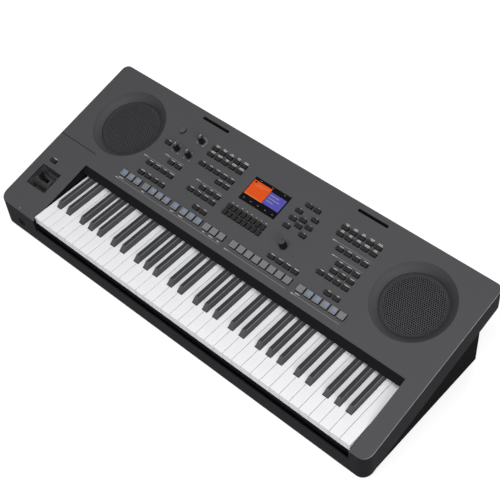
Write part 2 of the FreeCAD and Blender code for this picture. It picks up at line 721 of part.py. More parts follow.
def knob_places():
    """Volume above, two level knobs below it, and the data dial on the right."""
    return {"volume_knob": (KNOB_RIGHT, KNOB_ROW_HIGH),
            "left_level_knob": (KNOB_RIGHT - KNOB_STEP, KNOB_ROW_LOW),
            "right_level_knob": (KNOB_RIGHT, KNOB_ROW_LOW),
            "data_dial": (DIAL_MIDDLE, ROW_2 + DIAL_LIFT_FROM_ROW)}


def potentiometers():
    """The control bodies under the deck that the knob shafts turn in."""
    body = box(around(0, POT_SIDE), around(0, POT_SIDE), (-PANEL_BOARD_DROP, -CASE_WALL))
    bore = Part.makeCylinder(SHAFT_RADIUS + RUNNING_CLEARANCE, PANEL_BOARD_DROP, Vec(0, 0, -PANEL_BOARD_DROP))
    return spread(body.cut(bore), knob_places().values())


# Casing

def deck_height(y):
    return DECK_FRONT_HEIGHT + (y - FRONT) * SLOPE


def skirt_height(y):
    return SKIRT_FRONT_CLEAR + (y - FRONT) * SKIRT_SLOPE


def plan_block(inset):
    """The rounded plan of the instrument, drawn in by an inset, as a tall block."""
    return rounded_plate(grown((LEFT, RIGHT), -inset), grown((FRONT, REAR), -inset), (0, TALL_BIG),
                         FRONT_CORNER_RADIUS - inset, REAR_CORNER_RADIUS - inset)


def between(lower, upper):
    """Everything between two sloping surfaces, given as heights at the front and the rear."""
    front = FRONT - OVERRUN
    rear = REAR + OVERRUN
    return along_x([(front, lower(front)), (rear, lower(rear)), (rear, upper(rear)), (front, upper(front))],
                   grown((LEFT, RIGHT), OVERRUN))


def well_shape(margin, front_floor):
    """The key well, open to the front, with a leaning rear wall; a margin makes its surround."""
    top = TALL_BIG
    lean = FALLBOARD_LEAN / (deck_height(WELL_REAR) - FALLBOARD_BOTTOM)
    rear_low = WELL_REAR - FALLBOARD_LEAN + margin
    rear_top = rear_low + (top - FALLBOARD_BOTTOM) * lean
    points = [(FRONT - OVERRUN, front_floor), (FRONT - OVERRUN, top), (rear_top, top),
              (rear_low, FALLBOARD_BOTTOM), (rear_low, front_floor)]
    return along_x(points, grown((WELL_LEFT, WELL_RIGHT), margin))


def dish_ring():
    """The wall that carries a speaker's dish and seat under the deck."""
    outer = DISH_RADIUS + CASE_WALL
    seat_bottom = SEAT_DEPTH + CASE_WALL
    inner = GRILLE_RADIUS - GRILLE_RIM_WIDTH
    return turned([(inner, -seat_bottom), (SEAT_RADIUS, -seat_bottom),
                   (outer, -2 * CASE_WALL), (outer, -CASE_WALL / 2), (inner, -CASE_WALL / 2)])


def dish_hollow():
    """The dish cut into the deck: a hollow curve, the grille's seat and the sound opening."""
    start = Vec(DISH_RADIUS, 0, 0)
    end = Vec(GRILLE_RADIUS, 0, -DISH_DEPTH)
    along = end - start
    sag = Vec(along.z, 0, -along.x).normalize() * DISH_BULGE
    curve = Part.Arc(start, start + along * 0.5 + sag, end).toShape()
    inner = GRILLE_RADIUS - GRILLE_RIM_WIDTH
    seat = GRILLE_RADIUS + GRILLE_GAP
    rest = [(seat, -DISH_DEPTH), (seat, -SEAT_DEPTH), (inner, -SEAT_DEPTH),
            (inner, -SEAT_DEPTH - 2 * CASE_WALL), (0, -SEAT_DEPTH - 2 * CASE_WALL),
            (0, OVERRUN), (DISH_RADIUS, OVERRUN), (DISH_RADIUS, 0)]
    corners = [end] + [Vec(r, 0, z) for r, z in rest]
    edges = [curve] + [Part.makeLine(a, b) for a, b in zip(corners, corners[1:])]
    return Part.Face(Part.Wire(edges)).revolve(Vec(0, 0, 0), Vec(0, 0, 1), 360)


def speaker_places():
    return [(-SPEAKER_U, SPEAKER_V), (SPEAKER_U, SPEAKER_V)]


def rest_slot(side, wall, depth):
    """An upright pocket for one foot of a music rest; a wall makes its surround."""
    y = REAR - REST_SLOT_FROM_REAR
    x_range = grown(around(side * REST_SLOT_FROM_MIDDLE, REST_SLOT_LENGTH), wall)
    top = deck_height(y)
    radius = REST_SLOT_WIDTH / 2 + wall
    return rounded_plate(x_range, around(y, 2 * radius), (top - depth, top + OVERRUN),
                         radius * REST_SLOT_END_SHARE, radius * REST_SLOT_END_SHARE)


def rear_posts():
    """Screw posts over the rear cover: place, and the bottom and top of the cover's seat."""
    rear = REAR - CASE_POST_FROM_REAR
    below = skirt_height(rear - CASE_POST_RADIUS) - CASE_POST_PROUD
    above = skirt_height(rear + CASE_POST_RADIUS) + CASE_WALL + CASE_POST_PROUD
    return [(share * CASE_POST_STEP, rear, (below, above)) for share in (-1.5, -0.5, 0.5, 1.5)]


def cheek_posts():
    """Screw posts in the cheeks: place, and the bottom and top of the floor they stand on."""
    front = FRONT + CHEEK_POST_FROM_FRONT
    reach = WIDTH / 2 - CHEEK_POST_FROM_SIDE
    return [(side * reach, front, (FOOT_HEIGHT, FLOOR_TOP)) for side in (-1, 1)]


def case_posts():
    return rear_posts() + cheek_posts()


def screw_hole(x, y, low):
    return Part.makeCylinder(SCREW_RADIUS + SCREW_HOLE_GAP, SCREW_LENGTH, Vec(x, y, low))


def deck_openings():
    """Holes through the deck for every button, knob, the display and the joystick."""
    through = (-CASE_WALL - OVERRUN, OVERRUN)
    cuts = []
    for name, places, (width, length) in button_groups():
        hole = box(around(0, width + 2 * PANEL_FIT), around(0, length + 2 * PANEL_FIT), through)
        cuts += spread(hole, places)
    power_hole = Part.makeCylinder(POWER_RADIUS + PANEL_FIT, CASE_WALL + 2 * OVERRUN,
                                   Vec(0, 0, -CASE_WALL - OVERRUN))
    cuts += spread(power_hole, [power_place()])
    shaft_hole = Part.makeCylinder(SHAFT_RADIUS + PANEL_FIT, CASE_WALL + 2 * OVERRUN,
                                   Vec(0, 0, -CASE_WALL - OVERRUN))
    cuts += spread(shaft_hole, knob_places().values())
    window = box(around(0, DISPLAY_WIDTH + 2 * PANEL_FIT), around(0, DISPLAY_LENGTH + 2 * PANEL_FIT), through)
    cuts += spread(window, [(DISPLAY_MIDDLE, DISPLAY_ROW)])
    recess = box(around(0, STICK_RECESS_WIDTH), around(0, STICK_RECESS_LENGTH), through)
    return cuts + spread(recess, [(STICK_U, STICK_FROM_FRONT)])


def phones_place():
    return WELL_LEFT - PHONES_FROM_WELL, PHONES_HEIGHT


def lap_height(y):
    """The top of the lower shell's walls, inside the skirt."""
    return skirt_height(y) + SHELL_OVERLAP


def case_hollow():
    """The space inside the upper shell; the key well's surround stays solid above the lower shell."""
    wall_drop = CASE_WALL * DECK_PER_PLAN_SHARE
    hollow = plan_block(CASE_WALL).common(between(lambda y: -TALL_BIG, lambda y: deck_height(y) - wall_drop))
    surround = between(lambda y: lap_height(y) + SHELL_GAP, lambda y: TALL_BIG)
    return hollow.cut(well_shape(CASE_WALL, -TALL_BIG).common(surround))


def case_additions():
    """What hangs under the deck: speaker rings, music-rest pockets and posts."""
    pieces = spread(dish_ring(), speaker_places())
    pieces += [rest_slot(side, REST_SLOT_WALL, REST_SLOT_DEPTH + REST_SLOT_WALL) for side in (-1, 1)]
    for x, y, seat in case_posts():
        pieces.append(Part.makeCylinder(CASE_POST_RADIUS, TALL_BIG, Vec(x, y, seat[1])))
    post = Part.makeCylinder(BOARD_POST_RADIUS, PANEL_BOARD_DROP, Vec(0, 0, -PANEL_BOARD_DROP))
    pieces += spread(post, board_posts())
    half_wall = CASE_WALL * DECK_PER_PLAN_SHARE / 2
    limit = between(lambda y: 0, lambda y: deck_height(y) - half_wall)
    return [piece.common(limit) for piece in pieces]


def upper_case():
    """The deck with its cheeks, skirts, fallboard, speaker dishes and music-rest pockets."""
    case = plan_block(0).common(between(skirt_height, deck_height))
    rim = [edge for edge in case.Edges
           if max(abs(vertex.Z - deck_height(vertex.Y)) for vertex in edge.Vertexes) < EDGE_TOLERANCE]
    case = case.makeFillet(DECK_EDGE_ROUND, rim)
    case = case.cut(case_hollow()).fuse(case_additions()).removeSplitter()
    key_passage = box((WELL_LEFT, WELL_RIGHT), (FRONT - OVERRUN, PIVOT_Y), (-TALL_BIG, FALLBOARD_BOTTOM))
    cuts = [well_shape(0, -TALL_BIG), key_passage] + spread(dish_hollow(), speaker_places())
    cuts += [rest_slot(side, 0, REST_SLOT_DEPTH) for side in (-1, 1)]
    cuts += deck_openings()
    x, z = phones_place()
    cuts.append(Part.makeCylinder(JACK_BUSH_RADIUS + JACK_HOLE_GAP, CASE_WALL + 2 * OVERRUN,
                                  Vec(x, FRONT - OVERRUN, z), Vec(0, 1, 0)))
    cuts += [screw_hole(x, y, seat[0]) for x, y, seat in case_posts()]
    return case.cut(cuts)


def front_rail():
    """The strip that closes the front under the keys, between the cheeks."""
    across = grown((WELL_LEFT, WELL_RIGHT), -RAIL_END_GAP)
    return box(across, (FRONT, FRONT + CASE_WALL), (SKIRT_FRONT_CLEAR, RAIL_TOP))


def bottom_posts():
    """Posts of the bottom panel: their places, heights and radii."""
    posts = [(x, y, CHASSIS_BOTTOM, CHASSIS_POST_RADIUS) for x, y in chassis_posts()]
    posts += [(x, y, MAIN_BOARD_LEVEL, BOARD_POST_RADIUS) for x, y in main_board_posts()]
    return posts


def behind_rear_wall(wall, skin):
    """The space behind a rear wall and below the overhang, each set back by a thickness."""
    front = REAR_WALL - wall
    rear = REAR + OVERRUN
    points = [(front, -TALL_BIG), (front, skirt_height(front) + skin),
              (rear, skirt_height(rear) + skin), (rear, -TALL_BIG)]
    return along_x(points, grown((LEFT, RIGHT), OVERRUN))


def rear_panel_top():
    return skirt_height(REAR_WALL - CASE_WALL)


def lower_shell():
    """All walls under the upper case as one shell with a stepped rear, before it is parted into panels."""
    inset = CASE_WALL + SHELL_GAP
    outer = plan_block(inset).common(between(lambda y: FOOT_HEIGHT, lap_height)).cut(behind_rear_wall(0, 0))
    hollow = plan_block(inset + CASE_WALL).common(between(lambda y: FLOOR_TOP, lambda y: TALL_BIG))
    return outer.cut(hollow.cut(behind_rear_wall(CASE_WALL, CASE_WALL)))


def side_zones():
    """The space of the two side panels: the walls beside the keys, above the floor."""
    along = (FRONT, REAR_WALL - CASE_WALL)
    return [box(across, along, (FLOOR_TOP, TALL_BIG)) for across in ((LEFT, WELL_LEFT), (WELL_RIGHT, RIGHT))]


def side_panels():
    """The left and right walls on the floor, each with its return along the front."""
    shell = lower_shell()
    return [shell.common(zone) for zone in side_zones()]


def bottom_panel():
    """The floor with its posts and the low wall behind the front rail."""
    floor_zone = box((LEFT, RIGHT), (FRONT, REAR_WALL - CASE_WALL), (0, TALL_BIG))
    panel = lower_shell().common(floor_zone).cut(side_zones())
    solids = [Part.makeCylinder(radius, top - FOOT_HEIGHT, Vec(x, y, FOOT_HEIGHT))
              for x, y, top, radius in bottom_posts()]
    front = FRONT + CASE_WALL + SHELL_GAP
    solids.append(box(grown((WELL_LEFT, WELL_RIGHT), -RAIL_END_GAP), (front, front + CASE_WALL),
                      (FOOT_HEIGHT, RAIL_TOP - SHELL_OVERLAP)))
    holes = [screw_hole(x, y, CHASSIS_TOP - SCREW_LENGTH) for x, y in chassis_posts()]
    holes += [screw_hole(x, y, seat[0]) for x, y, seat in cheek_posts()]
    return panel.fuse(solids).removeSplitter().cut(holes)


def rear_cover():
    """The skin under the deck's rear overhang, with the seats of its screws."""
    zone = box((LEFT, RIGHT), (REAR_WALL - CASE_WALL, REAR), (rear_panel_top(), TALL_BIG))
    seats = [Part.makeCylinder(CASE_POST_RADIUS, seat[1] - seat[0], Vec(x, y, seat[0]))
             for x, y, seat in rear_posts()]
    holes = [screw_hole(x, y, seat[0]) for x, y, seat in rear_posts()]
    return lower_shell().common(zone).fuse(seats).removeSplitter().cut(holes)


def screw():
    """A pan-head screw with a cross recess, its shank up from the local origin."""
    head = Part.makeCylinder(SCREW_HEAD_RADIUS, SCREW_HEAD_HEIGHT, Vec(0, 0, -SCREW_HEAD_HEIGHT))
    recess_width = SCREW_HEAD_RADIUS / 4
    recess = (-SCREW_HEAD_HEIGHT - OVERRUN, -SCREW_HEAD_HEIGHT / 2)
    for across, along in ((SCREW_HEAD_RADIUS, recess_width), (recess_width, SCREW_HEAD_RADIUS)):
        head = head.cut(box(around(0, across), around(0, along), recess))
    shank = Part.makeCylinder(SCREW_RADIUS, SCREW_LENGTH - SHELL_GAP)
    return head.fuse(shank).removeSplitter()


def case_screws():
    """Screws up through the lower shell into the case posts, and down through the chassis."""
    pan_head = screw()
    upright = FreeCAD.Rotation()
    upside_down = FreeCAD.Rotation(Vec(1, 0, 0), 180)
    places = [(Vec(x, y, seat[0]), upright) for x, y, seat in case_posts()]
    places += [(Vec(x, y, CHASSIS_TOP), upside_down) for x, y in chassis_posts()]
    return [placed(pan_head, FreeCAD.Placement(place, turn)) for place, turn in places]


def rubber_feet():
    """Round feet near the corners and one in the middle of the front."""
    foot = Part.makeCylinder(FOOT_RADIUS, FOOT_HEIGHT)
    rear = REAR_WALL - FOOT_INSET
    front = FRONT + FOOT_INSET
    places = [(side * (WIDTH / 2 - FOOT_INSET), y) for side in (-1, 1) for y in (front, rear)]
    places += [(0, front), (0, rear)]
    return [placed(foot, FreeCAD.Placement(Vec(x, y, 0), FreeCAD.Rotation())) for x, y in places]


# Speakers

def speaker_grilles():
    """Round metal grille plates on their seats in the dishes."""
    plate = Part.makeCylinder(GRILLE_RADIUS, GRILLE_THICKNESS, Vec(0, 0, -SEAT_DEPTH))
    return spread(plate, speaker_places())


def speaker_basket():
    """A steel basket with its magnet, screwed under the seat."""
    top = -SEAT_DEPTH - CASE_WALL
    low = top - BASKET_DEPTH
    return turned([(BASKET_THROAT_RADIUS, top), (SEAT_RADIUS, top),
                   (SEAT_RADIUS, top - BASKET_WALL),
                   (BASKET_THROAT_RADIUS + BASKET_WALL, top - BASKET_WALL),
                   (BASKET_BACK_RADIUS + BASKET_WALL, low), (MAGNET_RADIUS, low),
                   (MAGNET_RADIUS, low - MAGNET_HEIGHT), (0, low - MAGNET_HEIGHT),
                   (0, low + BASKET_WALL), (BASKET_BACK_RADIUS, low + BASKET_WALL),
                   (BASKET_THROAT_RADIUS, top - BASKET_WALL)])


def speaker_cone():
    """A paper cone with a flat surround and a dust cap."""
    top = -SEAT_DEPTH - CASE_WALL
    outer = BASKET_THROAT_RADIUS - CONE_GAP
    shoulder = outer - CONE_RIM_WIDTH
    low = top - CONE_DEPTH
    return turned([(outer, top), (shoulder, top), (CONE_THROAT_RADIUS, low), (0, low + DUST_CAP_RISE),
                   (0, low + DUST_CAP_RISE - CONE_WALL), (CONE_THROAT_RADIUS, low - CONE_WALL),
                   (shoulder, top - CONE_WALL), (outer, top - CONE_WALL)])


def speakers():
    """The loudspeakers: a basket and a cone on each side."""
    return spread(speaker_basket(), speaker_places()) + spread(speaker_cone(), speaker_places())


# Display and boards

def display_window():
    """The glossy window in the deck's cut-out."""
    plate = rounded_plate(around(0, DISPLAY_WIDTH), around(0, DISPLAY_LENGTH), (-CASE_WALL, -DISPLAY_SINK),
                          BUTTON_CORNER, BUTTON_CORNER)
    return spread(plate, [(DISPLAY_MIDDLE, DISPLAY_ROW)])[0]


def display_module():
    """The display panel in its frame, behind the window."""
    body = box(grown(around(0, DISPLAY_WIDTH), MODULE_BORDER),
               grown(around(0, DISPLAY_LENGTH), MODULE_BORDER),
               (-CASE_WALL - MODULE_THICKNESS, -CASE_WALL))
    return spread(body, [(DISPLAY_MIDDLE, DISPLAY_ROW)])[0]


def panel_board_ranges():
    """Plan rectangles of the panel boards; two boards join a pad strip or a side strip."""
    low = PAD_ROW - PANEL_BOARD_MARGIN
    high = ROW_8 + PANEL_BOARD_MARGIN
    runs = pad_runs()
    left = (LEFT_COLUMN_START - PANEL_BOARD_MARGIN, runs[3][-1][0] + PANEL_BOARD_MARGIN)
    right = (runs[6][0][0] - PANEL_BOARD_MARGIN - PANEL_BOARD_GAP, runs[6][-1][0] + PANEL_BOARD_MARGIN)
    middle = (left[1] + PANEL_BOARD_GAP, right[0] - PANEL_BOARD_GAP)
    under_display = DISPLAY_ROW - DISPLAY_LENGTH / 2 - MODULE_BORDER - PANEL_BOARD_GAP
    beside_display = DISPLAY_MIDDLE + DISPLAY_WIDTH / 2 + MODULE_BORDER + PANEL_BOARD_GAP
    pad_end = runs[0][0][0] - PANEL_BOARD_MARGIN
    return {"left": (left, (low, high)),
            "left_pads": ((pad_end, left[1]), (low, PAD_ROW + PANEL_BOARD_MARGIN)),
            "right": (right, (low, high)),
            "middle": (middle, (low, under_display)),
            "middle_side": ((beside_display, middle[1]), (low, high))}


def board_posts():
    """Posts under the deck, above the pad row and above the top button row of each panel board."""
    ranges = panel_board_ranges()
    low = PAD_ROW + BOARD_POST_FROM_PADS
    high = ROW_8 + BOARD_POST_FROM_TOP_ROW
    posts = []
    for row, names in ((low, ("left", "middle", "right")), (high, ("left", "middle_side", "right"))):
        for name in names:
            posts += [(across, row) for across in grown(ranges[name][0], -BOARD_POST_INSET)]
    return posts


def panel_board(names):
    """One switch board, hung under the deck on its posts."""
    ranges = panel_board_ranges()
    level = (-PANEL_BOARD_DROP - BOARD_THICKNESS, -PANEL_BOARD_DROP)
    pieces = [box(ranges[name][0], ranges[name][1], level) for name in names]
    board = pieces[0] if len(pieces) == 1 else pieces[0].fuse(pieces[1:]).removeSplitter()
    return on_deck(board)


def panel_switches():
    """A tact switch on a board under each button."""
    top = -BUTTON_BOTTOM - max(BUTTON_TRAVEL, POWER_TRAVEL) - SWITCH_GAP
    body = box(around(0, SWITCH_SIDE), around(0, SWITCH_SIDE), (-PANEL_BOARD_DROP, top))
    places = [power_place()]
    for name, group, size in button_groups():
        if name != "mode_button":
            places += group
    return spread(body, places)


def main_board_range():
    rear = REAR_WALL - MAIN_BOARD_FROM_REAR_WALL
    return rear - MAIN_BOARD_LENGTH, rear


def main_board_posts():
    """Posts on the bottom panel under the corners of the main board."""
    columns = grown((MAIN_BOARD_LEFT, MAIN_BOARD_LEFT + MAIN_BOARD_WIDTH), -BOARD_POST_INSET)
    return [(x, y) for x in columns for y in grown(main_board_range(), -BOARD_POST_INSET)]


def main_board():
    """The computer board with its chips."""
    level = MAIN_BOARD_LEVEL + BOARD_THICKNESS
    across = (MAIN_BOARD_LEFT, MAIN_BOARD_LEFT + MAIN_BOARD_WIDTH)
    board = box(across, main_board_range(), (MAIN_BOARD_LEVEL, level))
    middle = sum(main_board_range()) / 2
    step = MAIN_BOARD_WIDTH / (CHIP_COUNT + 1)
    chips = [box(around(across[0] + step * index, CHIP_SIDE), around(middle, CHIP_SIDE),
                 (level, level + CHIP_HEIGHT)) for index in range(1, CHIP_COUNT + 1)]
    return board.fuse(chips).removeSplitter()


# Sockets

def socket_places():
    """Places across of the rear sockets: jacks, then the USB socket and the power inlet."""
    first = FIRST_JACK
    jacks = [first + JACK_STEP * index for index in range(JACK_COUNT)]
    usb = first + JACK_STEP * (JACK_COUNT + 1)
    return jacks, usb, usb + 2 * JACK_STEP


def rear_panel():
    """The upright rear wall with the holes of its sockets."""
    zone = box((LEFT, RIGHT), (REAR_WALL - CASE_WALL, REAR), (0, rear_panel_top()))
    through = (REAR_WALL - CASE_WALL - OVERRUN, REAR_WALL + OVERRUN)
    jacks, usb, dc = socket_places()
    cuts = [Part.makeCylinder(JACK_BUSH_RADIUS + JACK_HOLE_GAP, through[1] - through[0],
                              Vec(x, through[0], SOCKET_HEIGHT), Vec(0, 1, 0)) for x in jacks]
    for x, width, tall in ((usb, USB_WIDTH, USB_HEIGHT), (dc, DC_SIDE, DC_SIDE)):
        cuts.append(box(grown(around(x, width), JACK_HOLE_GAP), through,
                        grown(around(SOCKET_HEIGHT, tall), JACK_HOLE_GAP)))
    return lower_shell().common(zone).cut(cuts)


def jack(reach):
    """A 6.35 mm jack socket: mouth at the local origin, body behind it along +Y."""
    body = box(around(0, JACK_BODY_SIDE), (reach, reach + JACK_BODY_DEPTH), around(0, JACK_BODY_SIDE))
    bush = Part.makeCylinder(JACK_BUSH_RADIUS, reach + CASE_WALL, Vec(0, 0, 0), Vec(0, 1, 0))
    bore = Part.makeCylinder(JACK_BORE_RADIUS, JACK_BORE_DEPTH + OVERRUN, Vec(0, -OVERRUN, 0), Vec(0, 1, 0))
    return body.fuse(bush).removeSplitter().cut(bore)


def rear_jacks():
    """Pedal, line and aux jacks in a row on the rear panel."""
    turn = FreeCAD.Rotation(Vec(0, 0, 1), 180)
    mouth = REAR_WALL - JACK_HOLE_GAP
    reach = mouth - (REAR_WALL - CASE_WALL)
    jacks = socket_places()[0]
    return [placed(jack(reach), FreeCAD.Placement(Vec(x, mouth, SOCKET_HEIGHT), turn)) for x in jacks]


def phones_jack():
    """The headphone jack in the front of the left cheek."""
    x, z = phones_place()
    return placed(jack(CASE_WALL), FreeCAD.Placement(Vec(x, FRONT, z), FreeCAD.Rotation()))


def usb_socket():
    """The square USB socket with its tongue left out of the mouth."""
    x = socket_places()[1]
    body = box(around(x, USB_WIDTH), (REAR_WALL - USB_DEPTH, REAR_WALL), around(SOCKET_HEIGHT, USB_HEIGHT))
    hollow = box(around(x, USB_MOUTH_WIDTH), (REAR_WALL - USB_MOUTH_DEPTH, REAR_WALL + OVERRUN),
                 around(SOCKET_HEIGHT, USB_MOUTH_HEIGHT))
    return body.cut(hollow)


def dc_inlet():
    """The power inlet: a square body with a round bore."""
    x = socket_places()[2]
    body = box(around(x, DC_SIDE), (REAR_WALL - DC_DEPTH, REAR_WALL), around(SOCKET_HEIGHT, DC_SIDE))
    bore = Part.makeCylinder(DC_BORE_RADIUS, DC_BORE_DEPTH + OVERRUN,
                             Vec(x, REAR_WALL - DC_BORE_DEPTH, SOCKET_HEIGHT), Vec(0, 1, 0))
    return body.cut(bore)


# Joystick, built in the deck's frame about the middle of its recess

def at_stick(shape):
    """From the recess's own frame to the instrument's."""
    return spread(shape, [(STICK_U, STICK_FROM_FRONT)])[0]


def joystick_tub():
    """The tub under the recess that carries the drum's pins."""
    inner_across = around(0, STICK_RECESS_WIDTH)
    inner_up = around(0, STICK_RECESS_LENGTH)
    floor = -STICK_RECESS_DEPTH - TUB_WALL
    body = box(grown(inner_across, TUB_WALL), grown(inner_up, TUB_WALL), (floor, -CASE_WALL))
    lip = box(grown(inner_across, TUB_LIP), grown(inner_up, TUB_LIP), (-CASE_WALL - TUB_WALL, -CASE_WALL))
    hollow = box(inner_across, inner_up, (-STICK_RECESS_DEPTH, OVERRUN))
    pins = Part.makeCylinder(DRUM_PIN_RADIUS + RUNNING_CLEARANCE, STICK_RECESS_WIDTH + 2 * OVERRUN,
                             Vec(inner_across[0] - OVERRUN, 0, -DRUM_DROP), Vec(1, 0, 0))
    return at_stick(body.fuse(lip).removeSplitter().cut([hollow, pins]))


def joystick_drum():
    """The drum that tilts to and from the player, with a slot for the stick."""
    across = around(0, DRUM_LENGTH)
    axis = Vec(1, 0, 0)
    drum = Part.makeCylinder(DRUM_RADIUS, DRUM_LENGTH, Vec(across[0], 0, -DRUM_DROP), axis)
    under = box(grown(across, OVERRUN), around(0, 4 * DRUM_RADIUS),
                (-DRUM_DROP - 2 * DRUM_RADIUS, -DRUM_DROP - DRUM_FLAT_DROP))
    pin_range = grown(around(0, STICK_RECESS_WIDTH), TUB_WALL)
    pins = Part.makeCylinder(DRUM_PIN_RADIUS, pin_range[1] - pin_range[0],
                             Vec(pin_range[0], 0, -DRUM_DROP), axis)
    slot = box(around(0, DRUM_SLOT_LENGTH), around(0, DRUM_SLOT_WIDTH),
               (-DRUM_DROP - 2 * DRUM_RADIUS, OVERRUN))
    cross_pin = Part.makeCylinder(STICK_PIN_RADIUS, DRUM_SLOT_WIDTH + 2 * KEY_WALL,
                                  Vec(0, -DRUM_SLOT_WIDTH / 2 - KEY_WALL, -DRUM_DROP), Vec(0, 1, 0))
    return at_stick(drum.cut(under).fuse(pins).cut(slot).fuse(cross_pin).removeSplitter())


def joystick_lever():
    """The stick: a hub on the drum's cross pin and a paddle that widens to its top."""
    half_foot = STICK_THICKNESS / 2
    half_top = STICK_TOP_THICKNESS / 2
    foot = Part.makePolygon([Vec(x, y, -DRUM_DROP) for x, y in
                             ((-STICK_WIDTH / 2, -half_foot), (STICK_WIDTH / 2, -half_foot),
                              (STICK_WIDTH / 2, half_foot), (-STICK_WIDTH / 2, half_foot),
                              (-STICK_WIDTH / 2, -half_foot))])
    neck = Part.Face(foot).extrude(Vec(0, 0, DRUM_DROP))
    corners = ((-1, -1), (1, -1), (1, 1), (-1, 1), (-1, -1))
    low = Part.makePolygon([Vec(x * STICK_WIDTH / 2, y * half_foot, 0) for x, y in corners])
    high = Part.makePolygon([Vec(x * STICK_TOP_WIDTH / 2, y * half_top, STICK_RISE) for x, y in corners])
    paddle = Part.makeLoft([low, high], True, True)
    paddle = paddle.makeFillet(STICK_ROUND, flat_edges(paddle, STICK_RISE))
    hub = Part.makeCylinder(STICK_HUB_RADIUS, STICK_THICKNESS, Vec(0, -half_foot, -DRUM_DROP), Vec(0, 1, 0))
    bore = Part.makeCylinder(STICK_PIN_RADIUS + RUNNING_CLEARANCE, STICK_THICKNESS,
                             Vec(0, -half_foot, -DRUM_DROP), Vec(0, 1, 0))
    return at_stick(neck.fuse([paddle, hub]).removeSplitter().cut(bore))


# Writing every node

def main():
    save("upper_case", upper_case())
    save("bottom_panel", bottom_panel())
    save("side_panels", side_panels())
    save("rear_panel", rear_panel())
    save("rear_cover", rear_cover())
    save("front_rail", front_rail())
    save("keyboard_chassis", keyboard_chassis())
    save("key_pivot_rod", key_pivot_rod())
    save("key_stop_felt", key_stop_felt())
    save("key_contact_board", key_contact_board())
    save("key_contact_rubber", key_contact_rubber())
    for name, keys in key_sets().items():
        save(name, keys)
    for name, places, size in button_groups():
        save(name, spread(button(size), places))
    save("power_button", power_button())
    for name, place in knob_places().items():
        size = (DIAL_RADIUS, DIAL_RISE) if name == "data_dial" else (KNOB_RADIUS, KNOB_RISE)
        save(name, knob(size[0], size[1], place))
    save("potentiometers", potentiometers())
    save("panel_switches", panel_switches())
    save("left_panel_board", panel_board(["left", "left_pads"]))
    save("center_panel_board", panel_board(["middle", "middle_side"]))
    save("right_panel_board", panel_board(["right"]))
    save("main_board", main_board())
    save("display_window", display_window())
    save("display_module", display_module())
    save("speaker_grilles", speaker_grilles())
    save("speakers", speakers())
    save("rear_jacks", rear_jacks())
    save("usb_socket", usb_socket())
    save("dc_inlet", dc_inlet())
    save("phones_jack", phones_jack())
    save("joystick_tub", joystick_tub())
    save("joystick_drum", joystick_drum())
    save("joystick_lever", joystick_lever())
    save("rubber_feet", rubber_feet())
    save("case_screws", case_screws())


main()
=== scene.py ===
import math

import bmesh
import bpy
from bpy.props import FloatProperty, FloatVectorProperty, IntProperty, PointerProperty
from mathutils import Matrix, Vector


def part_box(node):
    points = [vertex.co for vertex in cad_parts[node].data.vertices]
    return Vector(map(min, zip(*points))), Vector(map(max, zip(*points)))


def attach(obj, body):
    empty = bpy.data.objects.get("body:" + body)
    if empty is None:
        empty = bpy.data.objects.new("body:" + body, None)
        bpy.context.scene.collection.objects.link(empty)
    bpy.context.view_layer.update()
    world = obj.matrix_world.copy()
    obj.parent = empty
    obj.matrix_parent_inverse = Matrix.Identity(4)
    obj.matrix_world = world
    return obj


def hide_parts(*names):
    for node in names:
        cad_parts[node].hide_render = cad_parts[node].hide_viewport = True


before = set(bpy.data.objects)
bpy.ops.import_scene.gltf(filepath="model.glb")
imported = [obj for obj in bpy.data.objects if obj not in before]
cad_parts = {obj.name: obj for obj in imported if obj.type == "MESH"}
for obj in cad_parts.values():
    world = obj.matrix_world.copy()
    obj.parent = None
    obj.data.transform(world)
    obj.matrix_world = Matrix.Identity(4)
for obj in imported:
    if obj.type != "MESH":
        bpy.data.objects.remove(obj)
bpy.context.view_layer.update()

bl_info = {
    "name": "Arranger keyboard looks",
    "version": (1, 0, 0),
    "blender": (4, 5, 0),
    "location": "View3D > Sidebar > Keyboard",
    "description": "Dresses an arranger keyboard: casing, keys, panel, speakers, display and stage",
    "category": "Object",
}


def deck_frame():
    """The deck's own frame: X across, Y up the slope and Z outwards, from the widest flat of the case."""
    # Faces that look up and lie in one plane count as one flat
    flats = {}
    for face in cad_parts["upper_case"].data.polygons:
        if face.normal.z > 0.5:
            alike = (round(face.normal.y, 2), round(face.normal.dot(face.center), 3))
            flats.setdefault(alike, []).append(face)
    deck = max(flats.values(), key=lambda faces: sum(face.area for face in faces))
    widest = max(deck, key=lambda face: face.area)
    normal = widest.normal
    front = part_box("upper_case")[0].y
    start = Vector((0.0, front, (normal.dot(widest.center) - normal.y * front) / normal.z))
    return Matrix.Translation(start) @ Matrix.Rotation(math.atan2(-normal.y, normal.z), 4, "X")


DECK = deck_frame()
TO_DECK = DECK.inverted()
DECK_SLOPE = DECK.to_euler().x
ACROSS = DECK.col[0].to_3d()
OUTWARDS = DECK.col[2].to_3d()

CASE_BODY = "case"
PHOTO_PIXELS = 500
SENSOR_WIDTH = 36.0
FAR_CLIP = 50.0
FLOOR_HALF = 6.0

# Diameter and place of each soft light; all of them point at the origin
LAMPS = {"key": (2.2, (0.2, -0.9, 2.35)), "fill": (1.8, (2.4, -1.4, 1.7)), "rear": (0.9, (-0.6, 2.4, 0.4))}

# Where a face counts as steep, as turned to the player or as turned sideways, by the share of its normal
STEEP_BELOW = 0.8
FRONT_BELOW = -0.5
SIDEWAYS_ABOVE = 0.7

# A wall nearer the middle than this share of the case's half width lies inside it
INSIDE_SHARE = 0.97

# How the painted edge highlights and the painted light on one side of each dish fade in, by the share of the
# normal that points sideways
EDGE_START = 0.25
EDGE_SLOPE = 3.0
EDGE_PATCHES = 60.0
DISH_LIGHT_MIDDLE = 0.3
DISH_LIGHT_SLOPE = 1.1

